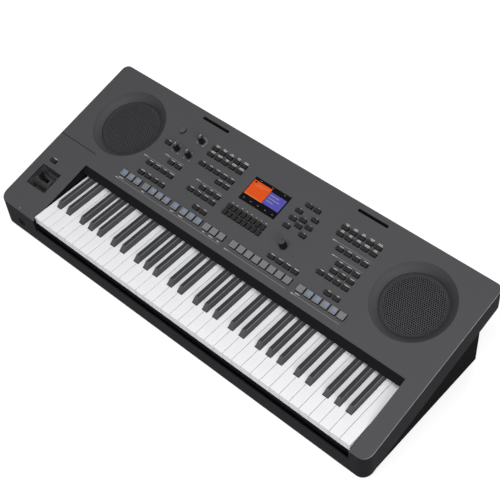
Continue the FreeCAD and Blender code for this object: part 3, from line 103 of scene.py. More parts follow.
# Finish of the casing, and the grain of all moulded plastic: depth, broad clouds and sway of the roughness
CASE_ROUGHNESS = 0.6
CASE_GLOSS = 0.03
GRAIN_DEPTH = 0.0002
CLOUD_SCALE = 9.0
CLOUD_DETAIL = 4.0
ROUGHNESS_SWAY = 0.8

# Light of the pads and of the screen, with the screen's fine lines, clouds and shade
PAD_GLOW = 0.14
SCREEN_GLOW = 0.85
SCREEN_LINES = 260.0
SCREEN_CLOUDS = 40.0
SCREEN_FADE = 0.16
SCREEN_SHADE = 0.55

# Reach of a pad's light by the pads' pitch, of a pointer by its knob and of the seam by the left cheek
GLOW_REACH = 0.42
POINTER_REACH = 0.4
SEAM_REACH = 0.95

# Depth of a knob's pale top, and the ticks round the knobs
CAP_DEPTH = 0.0003
TICK_SWEEP = math.radians(270)
LEVEL_TICKS = 3

# Corners of a cell of the grilles and of a ring, and how near two corners of the frame are when they are one
CELL_SIDES = 6
RING_SEGMENTS = 96
WELD_DISTANCE = 1e-6

# Seeds of the dashes' varied lengths
CAPTION_SEED = 7
DOT_SEED = 3

# Parts of the picture on the display, as shares of the window's width and of its depth
ORANGE_FIELD = ((0.015, 0.515), (0.27, 0.89))
ORANGE_BARS = [((0.03, 0.51), (0.275, 0.295)), ((0.10, 0.34), (0.71, 0.725)), ((0.16, 0.46), (0.78, 0.795))]
ORANGE_SQUARE = ((0.055, 0.105), (0.80, 0.86))
VIOLET_FIELD = ((0.525, 0.965), (0.285, 0.80))
VIOLET_BARS = [((0.56, 0.74), (0.44, 0.462)), ((0.56, 0.86), (0.56, 0.582)), ((0.56, 0.80), (0.68, 0.702))]
SPECK_ROWS = {0.945: 3, 0.12: 5}
SPECK_HALF_WIDTH = 0.022
SPECK_HALF_DEPTH = 0.012

# Nodes that share a finish, and the rows, buttons and pads that have print or light
BUTTON_GROUPS = ["left_column_buttons", "left_upper_buttons", "left_lower_buttons", "cursor_buttons",
                 "center_buttons", "right_upper_buttons", "right_lower_buttons"]
CAPTION_GROUPS = [group for group in BUTTON_GROUPS if group != "cursor_buttons"] + ["mode_button"]
LOWER_NODES = ["bottom_panel", "side_panels", "rear_panel", "rear_cover"]
PAD_GROUPS = ["left_pads", "section_pads", "center_pads", "right_pads"]
KNOBS = ["volume_knob", "left_level_knob", "right_level_knob"]
HEADER_ROWS = {"left_column_buttons": (1, 2), "left_lower_buttons": (2,), "right_lower_buttons": (3, 4)}
PAD_CAPTIONS = {"left_pads": (0, 3, 7), "section_pads": (0, 3, 4, 5), "right_pads": (0,)}
LIT_PADS = {"left_pads": (0, 1, 2, 4, 5, 6, 7), "section_pads": (0, 1, 2), "right_pads": (1, 2, 3, 4)}
WHITE_NOTES = ["c", "d", "e", "f", "g", "a", "b"]
BLACK_NOTES = ["c_sharp", "d_sharp", "f_sharp", "g_sharp", "a_sharp"]


# Settings that a user would change

def color_property(name, description, default):
    return FloatVectorProperty(name=name, description=description, default=default, size=3,
                               min=0.0, max=1.0, subtype="COLOR")


def length_property(name, description, default):
    return FloatProperty(name=name, description=description, default=default, min=0.0,
                         precision=5, unit="LENGTH")


def angle_property(name, description, degrees):
    return FloatProperty(name=name, description=description, default=math.radians(degrees), subtype="ANGLE")


def power_property(name, description, default):
    return FloatProperty(name=name, description=description, default=default, min=0.0, unit="POWER")


def level_property(name, description, default):
    return FloatProperty(name=name, description=description, default=default, min=0.0, max=1.0)


class KeyboardColors(bpy.types.PropertyGroup):
    """Colours of the finishes."""
    deck: color_property("Deck", "Satin charcoal of the upper casing", (0.080, 0.080, 0.084))
    # Painted shade: the skirts' darker tone is painted on the faces of the case that stand up from the deck;
    # the front rail takes it as its whole colour
    skirt: color_property("Skirts", "Darker charcoal of skirts and front rail", (0.0145, 0.0145, 0.017))
    # Painted highlight: pale line along the deck's edges that run from front to back
    edge: color_property("Deck edges", "Pale rub on the side edges of the deck", (0.32, 0.32, 0.33))
    # Painted shade: the fallboard and the inner walls by the keys are painted near-black
    fallboard: color_property("Fallboard", "Near-black of the walls about the keys", (0.009, 0.009, 0.010))
    # Painted shade: the dishes are painted in this dark tone, with painted light that gives back the deck's
    # tone on the walls that face right; the joystick drum takes it as its whole colour
    dish: color_property("Dishes", "Dark tone of the dishes and the joystick drum", (0.040, 0.040, 0.042))
    tray: color_property("Lower casing", "Near-black of the lower panels", (0.006, 0.006, 0.0065))
    white_key: color_property("White keys", "Glossy white of the keys", (0.83, 0.83, 0.85))
    black_key: color_property("Black keys", "Satin black of the raised keys", (0.035, 0.035, 0.037))
    # Painted light: the raised keys' sides are painted paler than their tops, and a painted highlight runs
    # along their edges
    black_side_light: color_property("Black key sides", "Paler sides of the raised keys", (0.08, 0.08, 0.085))
    black_edge_highlight: color_property("Black key edges", "Pale line along the raised keys", (0.34, 0.34, 0.35))
    button: color_property("Buttons", "Matte black of the small buttons", (0.018, 0.018, 0.019))
    # Painted shade: the sides of the buttons and pads are painted deep black
    button_side_shade: color_property("Button sides", "Deep black of the buttons' sides", (0.003, 0.003, 0.003))
    pad: color_property("Pads", "Grey of the pads that are off", (0.18, 0.18, 0.185))
    pad_lit: color_property("Lit pads", "Bluish light in the pads that are on", (0.17, 0.27, 0.45))
    knob: color_property("Knobs", "Black of the knobs and the stick", (0.012, 0.012, 0.013))
    cap: color_property("Knob tops", "Grey of the tops of the knobs and the dial", (0.060, 0.060, 0.064))
    grille: color_property("Grilles", "Dark paint of the speaker grilles", (0.055, 0.055, 0.059))
    mark: color_property("Printed marks", "Pale print on the deck", (0.46, 0.46, 0.47))
    line: color_property("Printed lines", "Fainter print of the thin lines", (0.20, 0.20, 0.205))
    screen_left: color_property("Screen, left", "Orange field of the screen", (0.88, 0.095, 0.004))
    screen_right: color_property("Screen, right", "Violet-blue field of the screen", (0.10, 0.095, 0.48))
    bars_left: color_property("Bars, left", "Paler bars on the orange field", (0.90, 0.30, 0.10))
    bars_right: color_property("Bars, right", "Paler bars on the violet field", (0.40, 0.3975, 0.59))
    window: color_property("Window", "Glossy black of the display window", (0.003, 0.003, 0.004))
    window_mark: color_property("Window marks", "Faint print on the window's border", (0.16, 0.16, 0.15))
    component: color_property("Components", "Black of sockets and of parts inside", (0.03, 0.03, 0.03))
    jack: color_property("Headphone jack", "Deep black of the jack and its ring", (0.003, 0.003, 0.003))
    rubber: color_property("Rubber", "Dark rubber of feet and key contacts", (0.018, 0.018, 0.018))
    steel: color_property("Steel", "Bare steel of screws and pivot rod", (0.42, 0.42, 0.43))
    speaker: color_property("Speakers", "Black of cones and baskets", (0.006, 0.006, 0.006))
    felt: color_property("Felt", "Dark felt under the keys", (0.012, 0.012, 0.013))
    board: color_property("Boards", "Green lacquer of the circuit boards", (0.015, 0.10, 0.04))


class KeyboardGrille(bpy.types.PropertyGroup):
    """Sizes of the perforated speaker grilles."""
    pitch: length_property("Hole pitch", "Distance between neighbouring holes", 0.0046)
    hole_share: FloatProperty(name="Hole share", description="Hole radius as a share of the pitch",
                              default=0.38, min=0.1, max=0.45)
    rim: length_property("Rim", "Width of the plain rim", 0.0018)
    dome: length_property("Dome", "How far the middle stands above the rim", 0.0030)
    thickness: length_property("Thickness", "Sheet thickness", 0.0009)
    dish_share: FloatProperty(name="Dish share", description="Dish radius as a share of the grille's radius",
                              default=1.25, min=1.0)


class KeyboardHardware(bpy.types.PropertyGroup):
    """Sizes of the ring about the headphone jack."""
    ring_inner: length_property("Ring inner radius", "Opening of the headphone jack's ring", 0.0056)
    ring_outer: length_property("Ring outer radius", "Outside of the headphone jack's ring", 0.0108)
    ring_thickness: length_property("Ring thickness", "How far the ring stands out", 0.0005)


class KeyboardMarks(bpy.types.PropertyGroup):
    """Sizes of the printed marks on the deck."""
    dash_length: length_property("Dash length", "Longest dash over a button", 0.0125)
    dash_width: length_property("Dash width", "Height of a dash", 0.0015)
    dash_offset: length_property("Dash offset", "Distance from a button's middle to its first dash", 0.0066)
    dash_pitch: length_property("Dash pitch", "Distance between the two dashes over a button", 0.0027)
    dot_length: length_property("Dot length", "Length of a short mark", 0.0026)
    header_offset: length_property("Header offset", "Distance from a row of buttons to its header", 0.0108)
    header_lead: length_property("Header lead", "How far a header starts before its row", 0.0200)
    pad_dash_offset: length_property("Pad dash offset", "Distance from a pad's middle to its dash", 0.0118)
    pad_line_offset: length_property("Pad line offset", "Distance from a pad's middle to the line", 0.0160)
    thickness: length_property("Thickness", "Thickness of the print", 0.00012)
    tick_length: length_property("Tick length", "Length of a tick round a knob", 0.0024)
    tick_radius: length_property("Tick radius", "Radius of the ring of ticks", 0.0108)
    tick_count: IntProperty(name="Ticks", description="Ticks round the volume knob", default=15, min=2)
    line_width: length_property("Line width", "Width of the thin lines", 0.0010)


class KeyboardStage(bpy.types.PropertyGroup):
    """Camera and light."""
    focal_pixels: FloatProperty(name="Focal length", description="Focal length in pixels of the photograph",
                                default=1108.0, min=1.0)
    yaw: angle_property("Yaw", "Camera's turn to the right", 46.819)
    pitch: angle_property("Pitch", "Camera's height angle", 49.969)
    roll: angle_property("Roll", "Camera's roll", -5.979)
    place: FloatVectorProperty(name="Place", description="Camera's place", default=(1.0697, -0.9559, 1.7835),
                               size=3, subtype="TRANSLATION", unit="LENGTH")
    key_power: power_property("Key light", "Power of the large soft light overhead", 45.0)
    fill_power: power_property("Fill light", "Power of the soft light at the right", 36.0)
    rear_power: power_property("Rear light", "Power of the low light from behind", 70.0)
    world_level: level_property("Surround", "Level of the even surrounding light", 0.20)
    floor_glow: level_property("Floor lift", "Brightening of the floor in the picture", 0.75)
    floor_level: level_property("Floor", "Paleness of the floor", 0.32)


class KeyboardSettings(bpy.types.PropertyGroup):
    """All settings of the keyboard."""
    colors: PointerProperty(type=KeyboardColors)
    grille: PointerProperty(type=KeyboardGrille)
    hardware: PointerProperty(type=KeyboardHardware)
    marks: PointerProperty(type=KeyboardMarks)
    stage: PointerProperty(type=KeyboardStage)


def settings():
    """The keyboard's settings in the open scene."""
    return bpy.context.scene.arranger_keyboard


# Node building blocks

def feed(tree, value, socket):
    """Links an output to an input socket, or sets the input to a number, a vector or a colour."""
    if isinstance(value, bpy.types.NodeSocket):
        tree.links.new(value, socket)
    elif socket.type == "RGBA":
        socket.default_value = (*value, 1.0)
    else:
        socket.default_value = value


def added(tree, kind, group=None, **inputs):
    """Adds a node, or a node group by its name, and feeds its named inputs; returns the node."""
    node = tree.nodes.new(kind)
    if group:
        node.node_tree = bpy.data.node_groups[group]
    for name, value in inputs.items():
        feed(tree, value, node.inputs[name.replace("_", " ")])
    return node


def node_group(name, tree_kind, inputs, outputs):
    """An empty node group with named sockets; returns the tree and the sockets at its two ends."""
    tree = bpy.data.node_groups.new(name, tree_kind)
    for socket, kind, value in inputs:
        item = tree.interface.new_socket(socket, in_out="INPUT", socket_type="NodeSocket" + kind)
        if value is not None:
            item.default_value = value
    for socket, kind in outputs:
        tree.interface.new_socket(socket, in_out="OUTPUT", socket_type="NodeSocket" + kind)
    return tree, tree.nodes.new("NodeGroupInput").outputs, tree.nodes.new("NodeGroupOutput").inputs


def math_node(tree, operation, first, second=None, clamp=False):
    """A math node on sockets or numbers; returns its output."""
    node = tree.nodes.new("ShaderNodeMath")
    node.operation = operation
    node.use_clamp = clamp
    feed(tree, first, node.inputs[0])
    if second is not None:
        feed(tree, second, node.inputs[1])
    return node.outputs[0]


def vector_node(tree, operation, first, second=None):
    """A vector math node on a socket and a fixed vector; returns the node."""
    node = tree.nodes.new("ShaderNodeVectorMath")
    node.operation = operation
    feed(tree, first, node.inputs[0])
    if second is not None:
        feed(tree, second, node.inputs[1])
    return node


def mix_color(tree, factor, first, second):
    """A colour mix of sockets or plain colours; returns its output."""
    node = tree.nodes.new("ShaderNodeMix")
    node.data_type = "RGBA"
    sockets = {socket.identifier: socket for socket in node.inputs}
    feed(tree, factor, sockets["Factor_Float"])
    feed(tree, first, sockets["A_Color"])
    feed(tree, second, sockets["B_Color"])
    return next(socket for socket in node.outputs if socket.identifier == "Result_Color")


# Shader building blocks

def object_place(tree):
    """Place on a piece, in the frame's own coordinates."""
    return tree.nodes.new("ShaderNodeTexCoord").outputs["Object"]


def noise(tree, place, scale, detail=2.0):
    """Noise over a piece."""
    return added(tree, "ShaderNodeTexNoise", Vector=place, Scale=scale, Detail=detail).outputs["Fac"]


def along_direction(tree, direction):
    """Share of a face's normal along a fixed direction."""
    normal = tree.nodes.new("ShaderNodeNewGeometry").outputs["Normal"]
    return vector_node(tree, "DOT_PRODUCT", normal, direction).outputs["Value"]


def moulded_grain_group():
    """Fine grain of moulded plastic: a colour that varies a little, a roughness and a bump height."""
    tree, start, end = node_group(
        "moulded_grain", "ShaderNodeTree",
        [("Color", "Color", (0.1, 0.1, 0.1, 1.0)), ("Roughness", "Float", 0.5),
         ("Grain Scale", "Float", 1500.0), ("Variation", "Float", 0.08)],
        [("Color", "Color"), ("Roughness", "Float"), ("Height", "Float")])
    place = object_place(tree)
    fine = noise(tree, place, start["Grain Scale"])
    both = math_node(tree, "ADD", fine, noise(tree, place, CLOUD_SCALE, CLOUD_DETAIL))
    shade = math_node(tree, "MULTIPLY", math_node(tree, "SUBTRACT", both, 1.0), start["Variation"])
    tint = vector_node(tree, "SCALE", start["Color"])
    feed(tree, math_node(tree, "ADD", shade, 1.0), tint.inputs["Scale"])
    sway = math_node(tree, "MULTIPLY", shade, ROUGHNESS_SWAY)
    tree.links.new(tint.outputs[0], end["Color"])
    tree.links.new(math_node(tree, "ADD", start["Roughness"], sway), end["Roughness"])
    tree.links.new(fine, end["Height"])


def edge_highlight_group():
    """A mask of painted highlights on the rounded edges that run from front to back, broken up by noise."""
    tree, start, end = node_group(
        "edge_highlight", "ShaderNodeTree", [("Strength", "Float", 1.0)], [("Mask", "Float")])
    sideways = math_node(tree, "ABSOLUTE", along_direction(tree, ACROSS))
    between = math_node(tree, "MINIMUM", sideways, along_direction(tree, OUTWARDS))
    edge = math_node(tree, "MULTIPLY", math_node(tree, "SUBTRACT", between, EDGE_START), EDGE_SLOPE)
    patches = math_node(tree, "ADD", noise(tree, object_place(tree), EDGE_PATCHES), 0.5)
    patchy = math_node(tree, "MULTIPLY", edge, patches)
    tree.links.new(math_node(tree, "MULTIPLY", patchy, start["Strength"], clamp=True), end["Mask"])


def new_material(name):
    """A new material with its tree and the inputs of its Principled shader."""
    material = bpy.data.materials.new(name)
    material.use_nodes = True
    tree = material.node_tree
    return material, tree, tree.nodes["Principled BSDF"].inputs


def plastic(name, color, roughness, grain=1500.0, bump=0.15, variation=0.08, coat=0.0, gloss=0.1):
    """Moulded plastic with a fine grain."""
    material, tree, shader = new_material(name)
    moulded = added(tree, "ShaderNodeGroup", group="moulded_grain", Color=color, Roughness=roughness,
                    Grain_Scale=grain, Variation=variation).outputs
    relief = added(tree, "ShaderNodeBump", Strength=bump, Distance=GRAIN_DEPTH, Height=moulded["Height"])
    tree.links.new(moulded["Color"], shader["Base Color"])
    tree.links.new(moulded["Roughness"], shader["Roughness"])
    tree.links.new(relief.outputs["Normal"], shader["Normal"])
    shader["Coat Weight"].default_value = coat
    shader["Specular IOR Level"].default_value = gloss
    return material


def metal(name, color, roughness):
    """Plain metal with fine brushed variation."""
    material = plastic(name, color, roughness, grain=900.0, bump=0.08, variation=0.12)
    material.node_tree.nodes["Principled BSDF"].inputs["Metallic"].default_value = 1.0
    return material


def ink(name, color):
    """Flat print with no relief."""
    return plastic(name, color, roughness=0.6, grain=3000.0, bump=0.0)


def repaint(material, mask, color):
    """Paints over a material's colour where a mask is one."""
    tree = material.node_tree
    base = tree.nodes["Principled BSDF"].inputs["Base Color"]
    tree.links.new(mix_color(tree, mask, base.links[0].from_socket, color), base)


def repaint_steep(material, color):
    """Paints the faces of a material that stand up from the deck."""
    tree = material.node_tree
    repaint(material, math_node(tree, "LESS_THAN", along_direction(tree, OUTWARDS), STEEP_BELOW), color)


def paint_edge_highlights(material, strength, color):
    """Paints highlights on the rounded edges of a material."""
    highlight = added(material.node_tree, "ShaderNodeGroup", group="edge_highlight", Strength=strength)
    repaint(material, highlight.outputs["Mask"], color)


def lit_pad_material(places, reach):
    """Pad plastic with painted shade on its sides, and a soft bluish light towards the rear right of each
    given pad.
    """
    colors = settings().colors
    material = plastic("pad_plastic", colors.pad, roughness=0.38, grain=1200.0, bump=0.1)
    tree = material.node_tree
    shader = tree.nodes["Principled BSDF"].inputs
    place = object_place(tree)
    shift = reach / 4
    glow = 0.0
    for across, up in places:
        distance = vector_node(tree, "DISTANCE", place, on_deck(across + shift, up + shift))
        fade = math_node(tree, "DIVIDE", distance.outputs["Value"], reach)
        glow = math_node(tree, "MAXIMUM", math_node(tree, "SUBTRACT", 1.0, fade), glow)
    repaint(material, glow, colors.pad_lit)
    # Painted shade on the pads' sides
    repaint_steep(material, colors.button_side_shade)
    tree.links.new(mix_color(tree, glow, (0.0, 0.0, 0.0), colors.pad_lit), shader["Emission Color"])
    shader["Emission Strength"].default_value = PAD_GLOW
    return material


def screen_material(name, color):
    """A lit screen field with fine lines and a slight fade across it."""
    material, tree, shader = new_material(name)
    place = object_place(tree)
    lines = added(tree, "ShaderNodeTexWave", Vector=place, Scale=SCREEN_LINES).outputs["Fac"]
    both = math_node(tree, "ADD", lines, noise(tree, place, SCREEN_CLOUDS))
    darker = [channel * SCREEN_SHADE for channel in color]
    shown = mix_color(tree, math_node(tree, "MULTIPLY", both, SCREEN_FADE), color, darker)
    tree.links.new(shown, shader["Emission Color"])
    shader["Base Color"].default_value = (0.01, 0.01, 0.01, 1.0)
    shader["Emission Strength"].default_value = SCREEN_GLOW
    shader["Roughness"].default_value = 0.25
    shader["Specular IOR Level"].default_value = 0.03
    return material


def inner_walls(tree, place):
    """A mask on the fallboard and on the walls that face sideways inside the case, where painted shade goes.
    """
    axes = added(tree, "ShaderNodeSeparateXYZ", Vector=place).outputs
    behind_keys = math_node(tree, "GREATER_THAN", axes["Y"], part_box("c_sharp_keys")[0].y)
    to_front = math_node(tree, "LESS_THAN", along_direction(tree, (0.0, 1.0, 0.0)), FRONT_BELOW)
    fallboard = math_node(tree, "MULTIPLY", behind_keys, to_front)
    reach = INSIDE_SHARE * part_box("upper_case")[1].x
    inside = math_node(tree, "LESS_THAN", math_node(tree, "ABSOLUTE", axes["X"]), reach)
    share = math_node(tree, "ABSOLUTE", along_direction(tree, ACROSS))
    sideways = math_node(tree, "GREATER_THAN", share, SIDEWAYS_ABOVE)
    return math_node(tree, "MAXIMUM", fallboard, math_node(tree, "MULTIPLY", inside, sideways))


def dish_light_mask(tree):
    """A mask of painted light that grows from the dish walls that face left to those that face right."""
    share = math_node(tree, "MULTIPLY", along_direction(tree, ACROSS), DISH_LIGHT_SLOPE)
    return math_node(tree, "ADD", share, DISH_LIGHT_MIDDLE, clamp=True)


def deck_material():
    """Case plastic: a flat deck; painted shade makes the skirts darker, the inner walls near-black and the
    dishes dark, with painted light on one side of each dish and painted highlights on the edges that run
    from front to back.
    """
    colors = settings().colors
    material = plastic("deck_plastic", colors.deck, CASE_ROUGHNESS, gloss=CASE_GLOSS)
    tree = material.node_tree
    place = object_place(tree)
    # Painted shade darkens the faces that stand up from the deck to the skirts' tone
    repaint_steep(material, colors.skirt)
    # Painted highlight along the deck's edges that run from front to back
    paint_edge_highlights(material, strength=0.8, color=colors.edge)
    # Painted shade makes the fallboard and the inner walls near-black
    repaint(material, inner_walls(tree, place), colors.fallboard)
    # Painted shade darkens each dish, and painted light gives back the deck's tone on the dish walls that
    # face right
    fade = dish_light_mask(tree)
    for middle, radius in grille_plates().values():
        distance = vector_node(tree, "DISTANCE", place, on_deck(middle.x, middle.y))
        reach = radius * settings().grille.dish_share
        dish = math_node(tree, "LESS_THAN", distance.outputs["Value"], reach)
        repaint(material, dish, colors.dish)
        repaint(material, math_node(tree, "MULTIPLY", dish, fade), colors.deck)
    return material


def capped_plastic(name, node):
    """Knob plastic with a paler flat top, found by its height over the deck."""
    colors = settings().colors
    material = plastic(name, colors.knob, roughness=0.45)
    tree = material.node_tree
    height = vector_node(tree, "DOT_PRODUCT", object_place(tree), OUTWARDS).outputs["Value"]
    cap_start = DECK.translation.dot(OUTWARDS) + top_level(node) - CAP_DEPTH
    repaint(material, math_node(tree, "GREATER_THAN", height, cap_start), colors.cap)
    return material


def dress(material, *nodes):
    """Gives CAD nodes a material in place of their own."""
    for name in nodes:
        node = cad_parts[name]
        node.data.materials.clear()
        node.data.materials.append(material)


# Geometry Nodes building blocks

def finish_tree(tree, start, end, geometry):
    """Realizes instances, sets the material input and closes the tree."""
    realize = added(tree, "GeometryNodeRealizeInstances", Geometry=geometry)
    paint = added(tree, "GeometryNodeSetMaterial", Geometry=realize.outputs[0], Material=start["Material"])
    tree.links.new(paint.outputs[0], end["Geometry"])


def placed(name, data):
    """A new object in the open scene."""
    item = bpy.data.objects.new(name, data)
    bpy.context.scene.collection.objects.link(item)
    return item


def plain_mesh(name, corners, faces=()):
    """A mesh of corners with faces, or of loose points."""
    mesh = bpy.data.meshes.new(name)
    mesh.from_pydata([tuple(corner) for corner in corners], [], faces)
    return mesh


def baked(name, base, tree, values, material):
    """Runs a geometry tree on a mesh and returns the result as a plain object with that name."""
    source = placed(name + "_source", base)
    modifier = source.modifiers.new("nodes", "NODES")
    modifier.node_group = tree
    for item in tree.interface.items_tree:
        if item.in_out == "INPUT" and item.name in values:
            modifier[item.identifier] = values[item.name]
        elif item.in_out == "INPUT" and item.name == "Material":
            modifier[item.identifier] = material
    graph = bpy.context.evaluated_depsgraph_get()
    mesh = bpy.data.meshes.new_from_object(source.evaluated_get(graph))
    bpy.data.objects.remove(source)
    mesh.name = name
    return linked(name, mesh, material)


def linked(name, mesh, material):
    """A plain object at the origin that shows a mesh in one material."""
    mesh.materials.clear()
    mesh.materials.append(material)
    mesh.polygons.foreach_set("material_index", [0] * len(mesh.polygons))
    return placed(name, mesh)


def dash_tree():
    """Flat dashes of varied length on points, turned to lie on the deck."""
    tree, start, end = node_group(
        "printed_dashes", "GeometryNodeTree",
        [("Geometry", "Geometry", None), ("Length", "Float", 0.01), ("Shortest Share", "Float", 0.45),
         ("Width", "Float", 0.001), ("Thickness", "Float", 0.0001), ("Slope", "Float", 0.0),
         ("Seed", "Int", 1), ("Material", "Material", None)],
        [("Geometry", "Geometry")])
    size = added(tree, "ShaderNodeCombineXYZ", X=start["Length"], Y=start["Width"], Z=start["Thickness"])
    bar = added(tree, "GeometryNodeMeshCube", Size=size.outputs[0])
    random = added(tree, "FunctionNodeRandomValue", Seed=start["Seed"])
    random.data_type = "FLOAT"
    tree.links.new(start["Shortest Share"], random.inputs[2])
    stretch = added(tree, "ShaderNodeCombineXYZ", X=random.outputs[1], Y=1.0, Z=1.0)
    turn = added(tree, "ShaderNodeCombineXYZ", X=start["Slope"])
    spread = added(tree, "GeometryNodeInstanceOnPoints", Points=start["Geometry"],
                   Instance=bar.outputs["Mesh"], Rotation=turn.outputs[0], Scale=stretch.outputs[0])
    finish_tree(tree, start, end, spread.outputs[0])
    return tree


def grille_tree():
    """A domed sheet of six-sided cells, each with a hole, inside a radius; the cell is an object."""
    tree, start, end = node_group(
        "perforated_grille", "GeometryNodeTree",
        [("Geometry", "Geometry", None), ("Cell", "Object", None), ("Radius", "Float", 0.06),
         ("Dome", "Float", 0.003), ("Merge", "Float", 0.00005), ("Material", "Material", None)],
        [("Geometry", "Geometry")])
    cell = added(tree, "GeometryNodeObjectInfo", Object=start["Cell"])
    spread = added(tree, "GeometryNodeInstanceOnPoints", Points=start["Geometry"],
                   Instance=cell.outputs["Geometry"])
    realize = added(tree, "GeometryNodeRealizeInstances", Geometry=spread.outputs[0])
    merge = added(tree, "GeometryNodeMergeByDistance", Geometry=realize.outputs[0], Distance=start["Merge"])
    place = tree.nodes.new("GeometryNodeInputPosition").outputs[0]
    flat = vector_node(tree, "MULTIPLY", place, (1.0, 1.0, 0.0)).outputs[0]
    reach = vector_node(tree, "LENGTH", flat).outputs["Value"]
    share = math_node(tree, "DIVIDE", reach, start["Radius"])
    drop = math_node(tree, "MULTIPLY", share, share)
    rise = math_node(tree, "MULTIPLY", math_node(tree, "SUBTRACT", 1.0, drop), start["Dome"])
    offset = added(tree, "ShaderNodeCombineXYZ", Z=rise)
    bend = added(tree, "GeometryNodeSetPosition", Geometry=merge.outputs[0], Offset=offset.outputs[0])
    finish_tree(tree, start, end, bend.outputs[0])
    return tree


# Reading the frame

def solid_places(name):
    """Middle of each solid of a CAD node, as (across, up) on the deck, from a merged copy of its mesh."""
    shape = bmesh.new()
    shape.from_mesh(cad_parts[name].data)
    bmesh.ops.remove_doubles(shape, verts=shape.verts, dist=WELD_DISTANCE)
    left = set(shape.verts)
    places = []
    while left:
        island = set()
        ends = [left.pop()]
        while ends:
            vertex = ends.pop()
            island.add(vertex)
            near = {edge.other_vert(vertex) for edge in vertex.link_edges} & left
            left -= near
            ends += near
        corners = [TO_DECK @ vertex.co for vertex in island]
        middle = [(min(c[axis] for c in corners) + max(c[axis] for c in corners)) / 2 for axis in (0, 1)]
        places.append(tuple(middle))
    shape.free()
    return sorted(places)


def on_deck(across, up, out=0.0):
    """A place on the deck, or above it, in the frame."""
    return DECK @ Vector((across, up, out))


def deck_points(name):
    """Corners of a CAD node in the deck's frame."""
    return [TO_DECK @ vertex.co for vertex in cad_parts[name].data.vertices]


def corner_box(points):
    """Lowest and highest corner of the box about some points."""
    low = Vector([min(point[axis] for point in points) for axis in range(3)])
    high = Vector([max(point[axis] for point in points) for axis in range(3)])
    return low, high


def grille_plates():
    """Middle on the deck and radius of the left and right grille plates."""
    points = deck_points("speaker_grilles")
    halves = {"left": [point for point in points if point.x < 0],
              "right": [point for point in points if point.x >= 0]}
    found = {}
    for side, half in halves.items():
        low, high = corner_box(half)
        middle = (low + high) / 2
        middle.z = high.z
        found[side] = (middle, (high.x - low.x) / 2)
    return found


def top_level(name):
    """Height of a CAD node's highest point over the deck."""
    return max(point.z for point in deck_points(name))


# Making pieces

def fitted(piece, body):
    """Lets a piece ride on a body."""
    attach(piece, body)


def shaped(name, shape, material, body):
    """Turns a finished bmesh into a piece that rides on a body."""
    mesh = bpy.data.meshes.new(name)
    shape.to_mesh(mesh)
    shape.free()
    fitted(linked(name, mesh, material), body)


def add_ring(shape, matrix, inner, outer, thickness):
    """Adds a flat ring with rounded lips to a mesh; the ring's top lies in the matrix's own plane."""
    lip = thickness / 2
    outline = [(inner, -thickness), (inner, -lip), (inner + lip, 0.0), (outer - lip, 0.0), (outer, -lip),
               (outer, -thickness)]
    rings = []
    for radius, height in outline:
        ring = []
        for step in range(RING_SEGMENTS):
            angle = 2 * math.pi * step / RING_SEGMENTS
            place = Vector((radius * math.cos(angle), radius * math.sin(angle), height))
            ring.append(shape.verts.new(matrix @ place))
        rings.append(ring)
    for index, ring in enumerate(rings):
        following = rings[(index + 1) % len(rings)]
        for step in range(RING_SEGMENTS):
            beside = (step + 1) % RING_SEGMENTS
            shape.faces.new((ring[step], following[step], following[beside], ring[beside]))


def plates(name, material, body, items):
    """One piece of thin plates along the deck, each as ((across, up, out), length, width, turn)."""
    thickness = settings().marks.thickness
    shape = bmesh.new()
    for (across, up, out), length, width, turn in items:
        matrix = Matrix.Translation(on_deck(across, up, out + thickness / 2))
        matrix = matrix @ Matrix.Rotation(DECK_SLOPE, 4, "X") @ Matrix.Rotation(turn, 4, "Z")
        matrix = matrix @ Matrix.Diagonal((length, width, thickness, 1))
        bmesh.ops.create_cube(shape, size=1.0, matrix=matrix)
    shaped(name, shape, material, body)


# Operators: finishes of the frame's own pieces

class KEYBOARD_OT_shared_effects(bpy.types.Operator):
    """Build the grain and the painted edge highlights that several finishes share"""
    bl_idname = "keyboard.shared_effects"
    bl_label = "Shared effects"

    def execute(self, context):
        moulded_grain_group()
        edge_highlight_group()
        return {"FINISHED"}


class KEYBOARD_OT_casing(bpy.types.Operator):
    """Finish the upper and lower casing and the front rail"""
    bl_idname = "keyboard.casing"
    bl_label = "Casing"

    def execute(self, context):
        colors = settings().colors
        dress(deck_material(), "upper_case")
        tray = plastic("tray_plastic", colors.tray, roughness=0.7, gloss=0.01)
        dress(tray, *LOWER_NODES, "keyboard_chassis")
        dress(plastic("rail_plastic", colors.skirt, CASE_ROUGHNESS, gloss=CASE_GLOSS), "front_rail")
        dress(plastic("tub_plastic", colors.deck, CASE_ROUGHNESS), "joystick_tub")
        return {"FINISHED"}


class KEYBOARD_OT_keys(bpy.types.Operator):
    """Finish the white and black keys"""
    bl_idname = "keyboard.keys"
    bl_label = "Keys"

    def execute(self, context):
        colors = settings().colors
        white = plastic("white_key_plastic", colors.white_key, roughness=0.22, grain=400.0, bump=0.02,
                        variation=0.015, coat=0.1, gloss=0.3)
        dress(white, *[note + "_keys" for note in WHITE_NOTES])
        black = plastic("black_key_plastic", colors.black_key, roughness=0.42, grain=1800.0, bump=0.12)
        # Painted light on the sides of the raised keys
        repaint_steep(black, colors.black_side_light)
        # Painted highlight along the edges of the raised keys
        paint_edge_highlights(black, strength=1.0, color=colors.black_edge_highlight)
        dress(black, *[note + "_keys" for note in BLACK_NOTES])
        return {"FINISHED"}


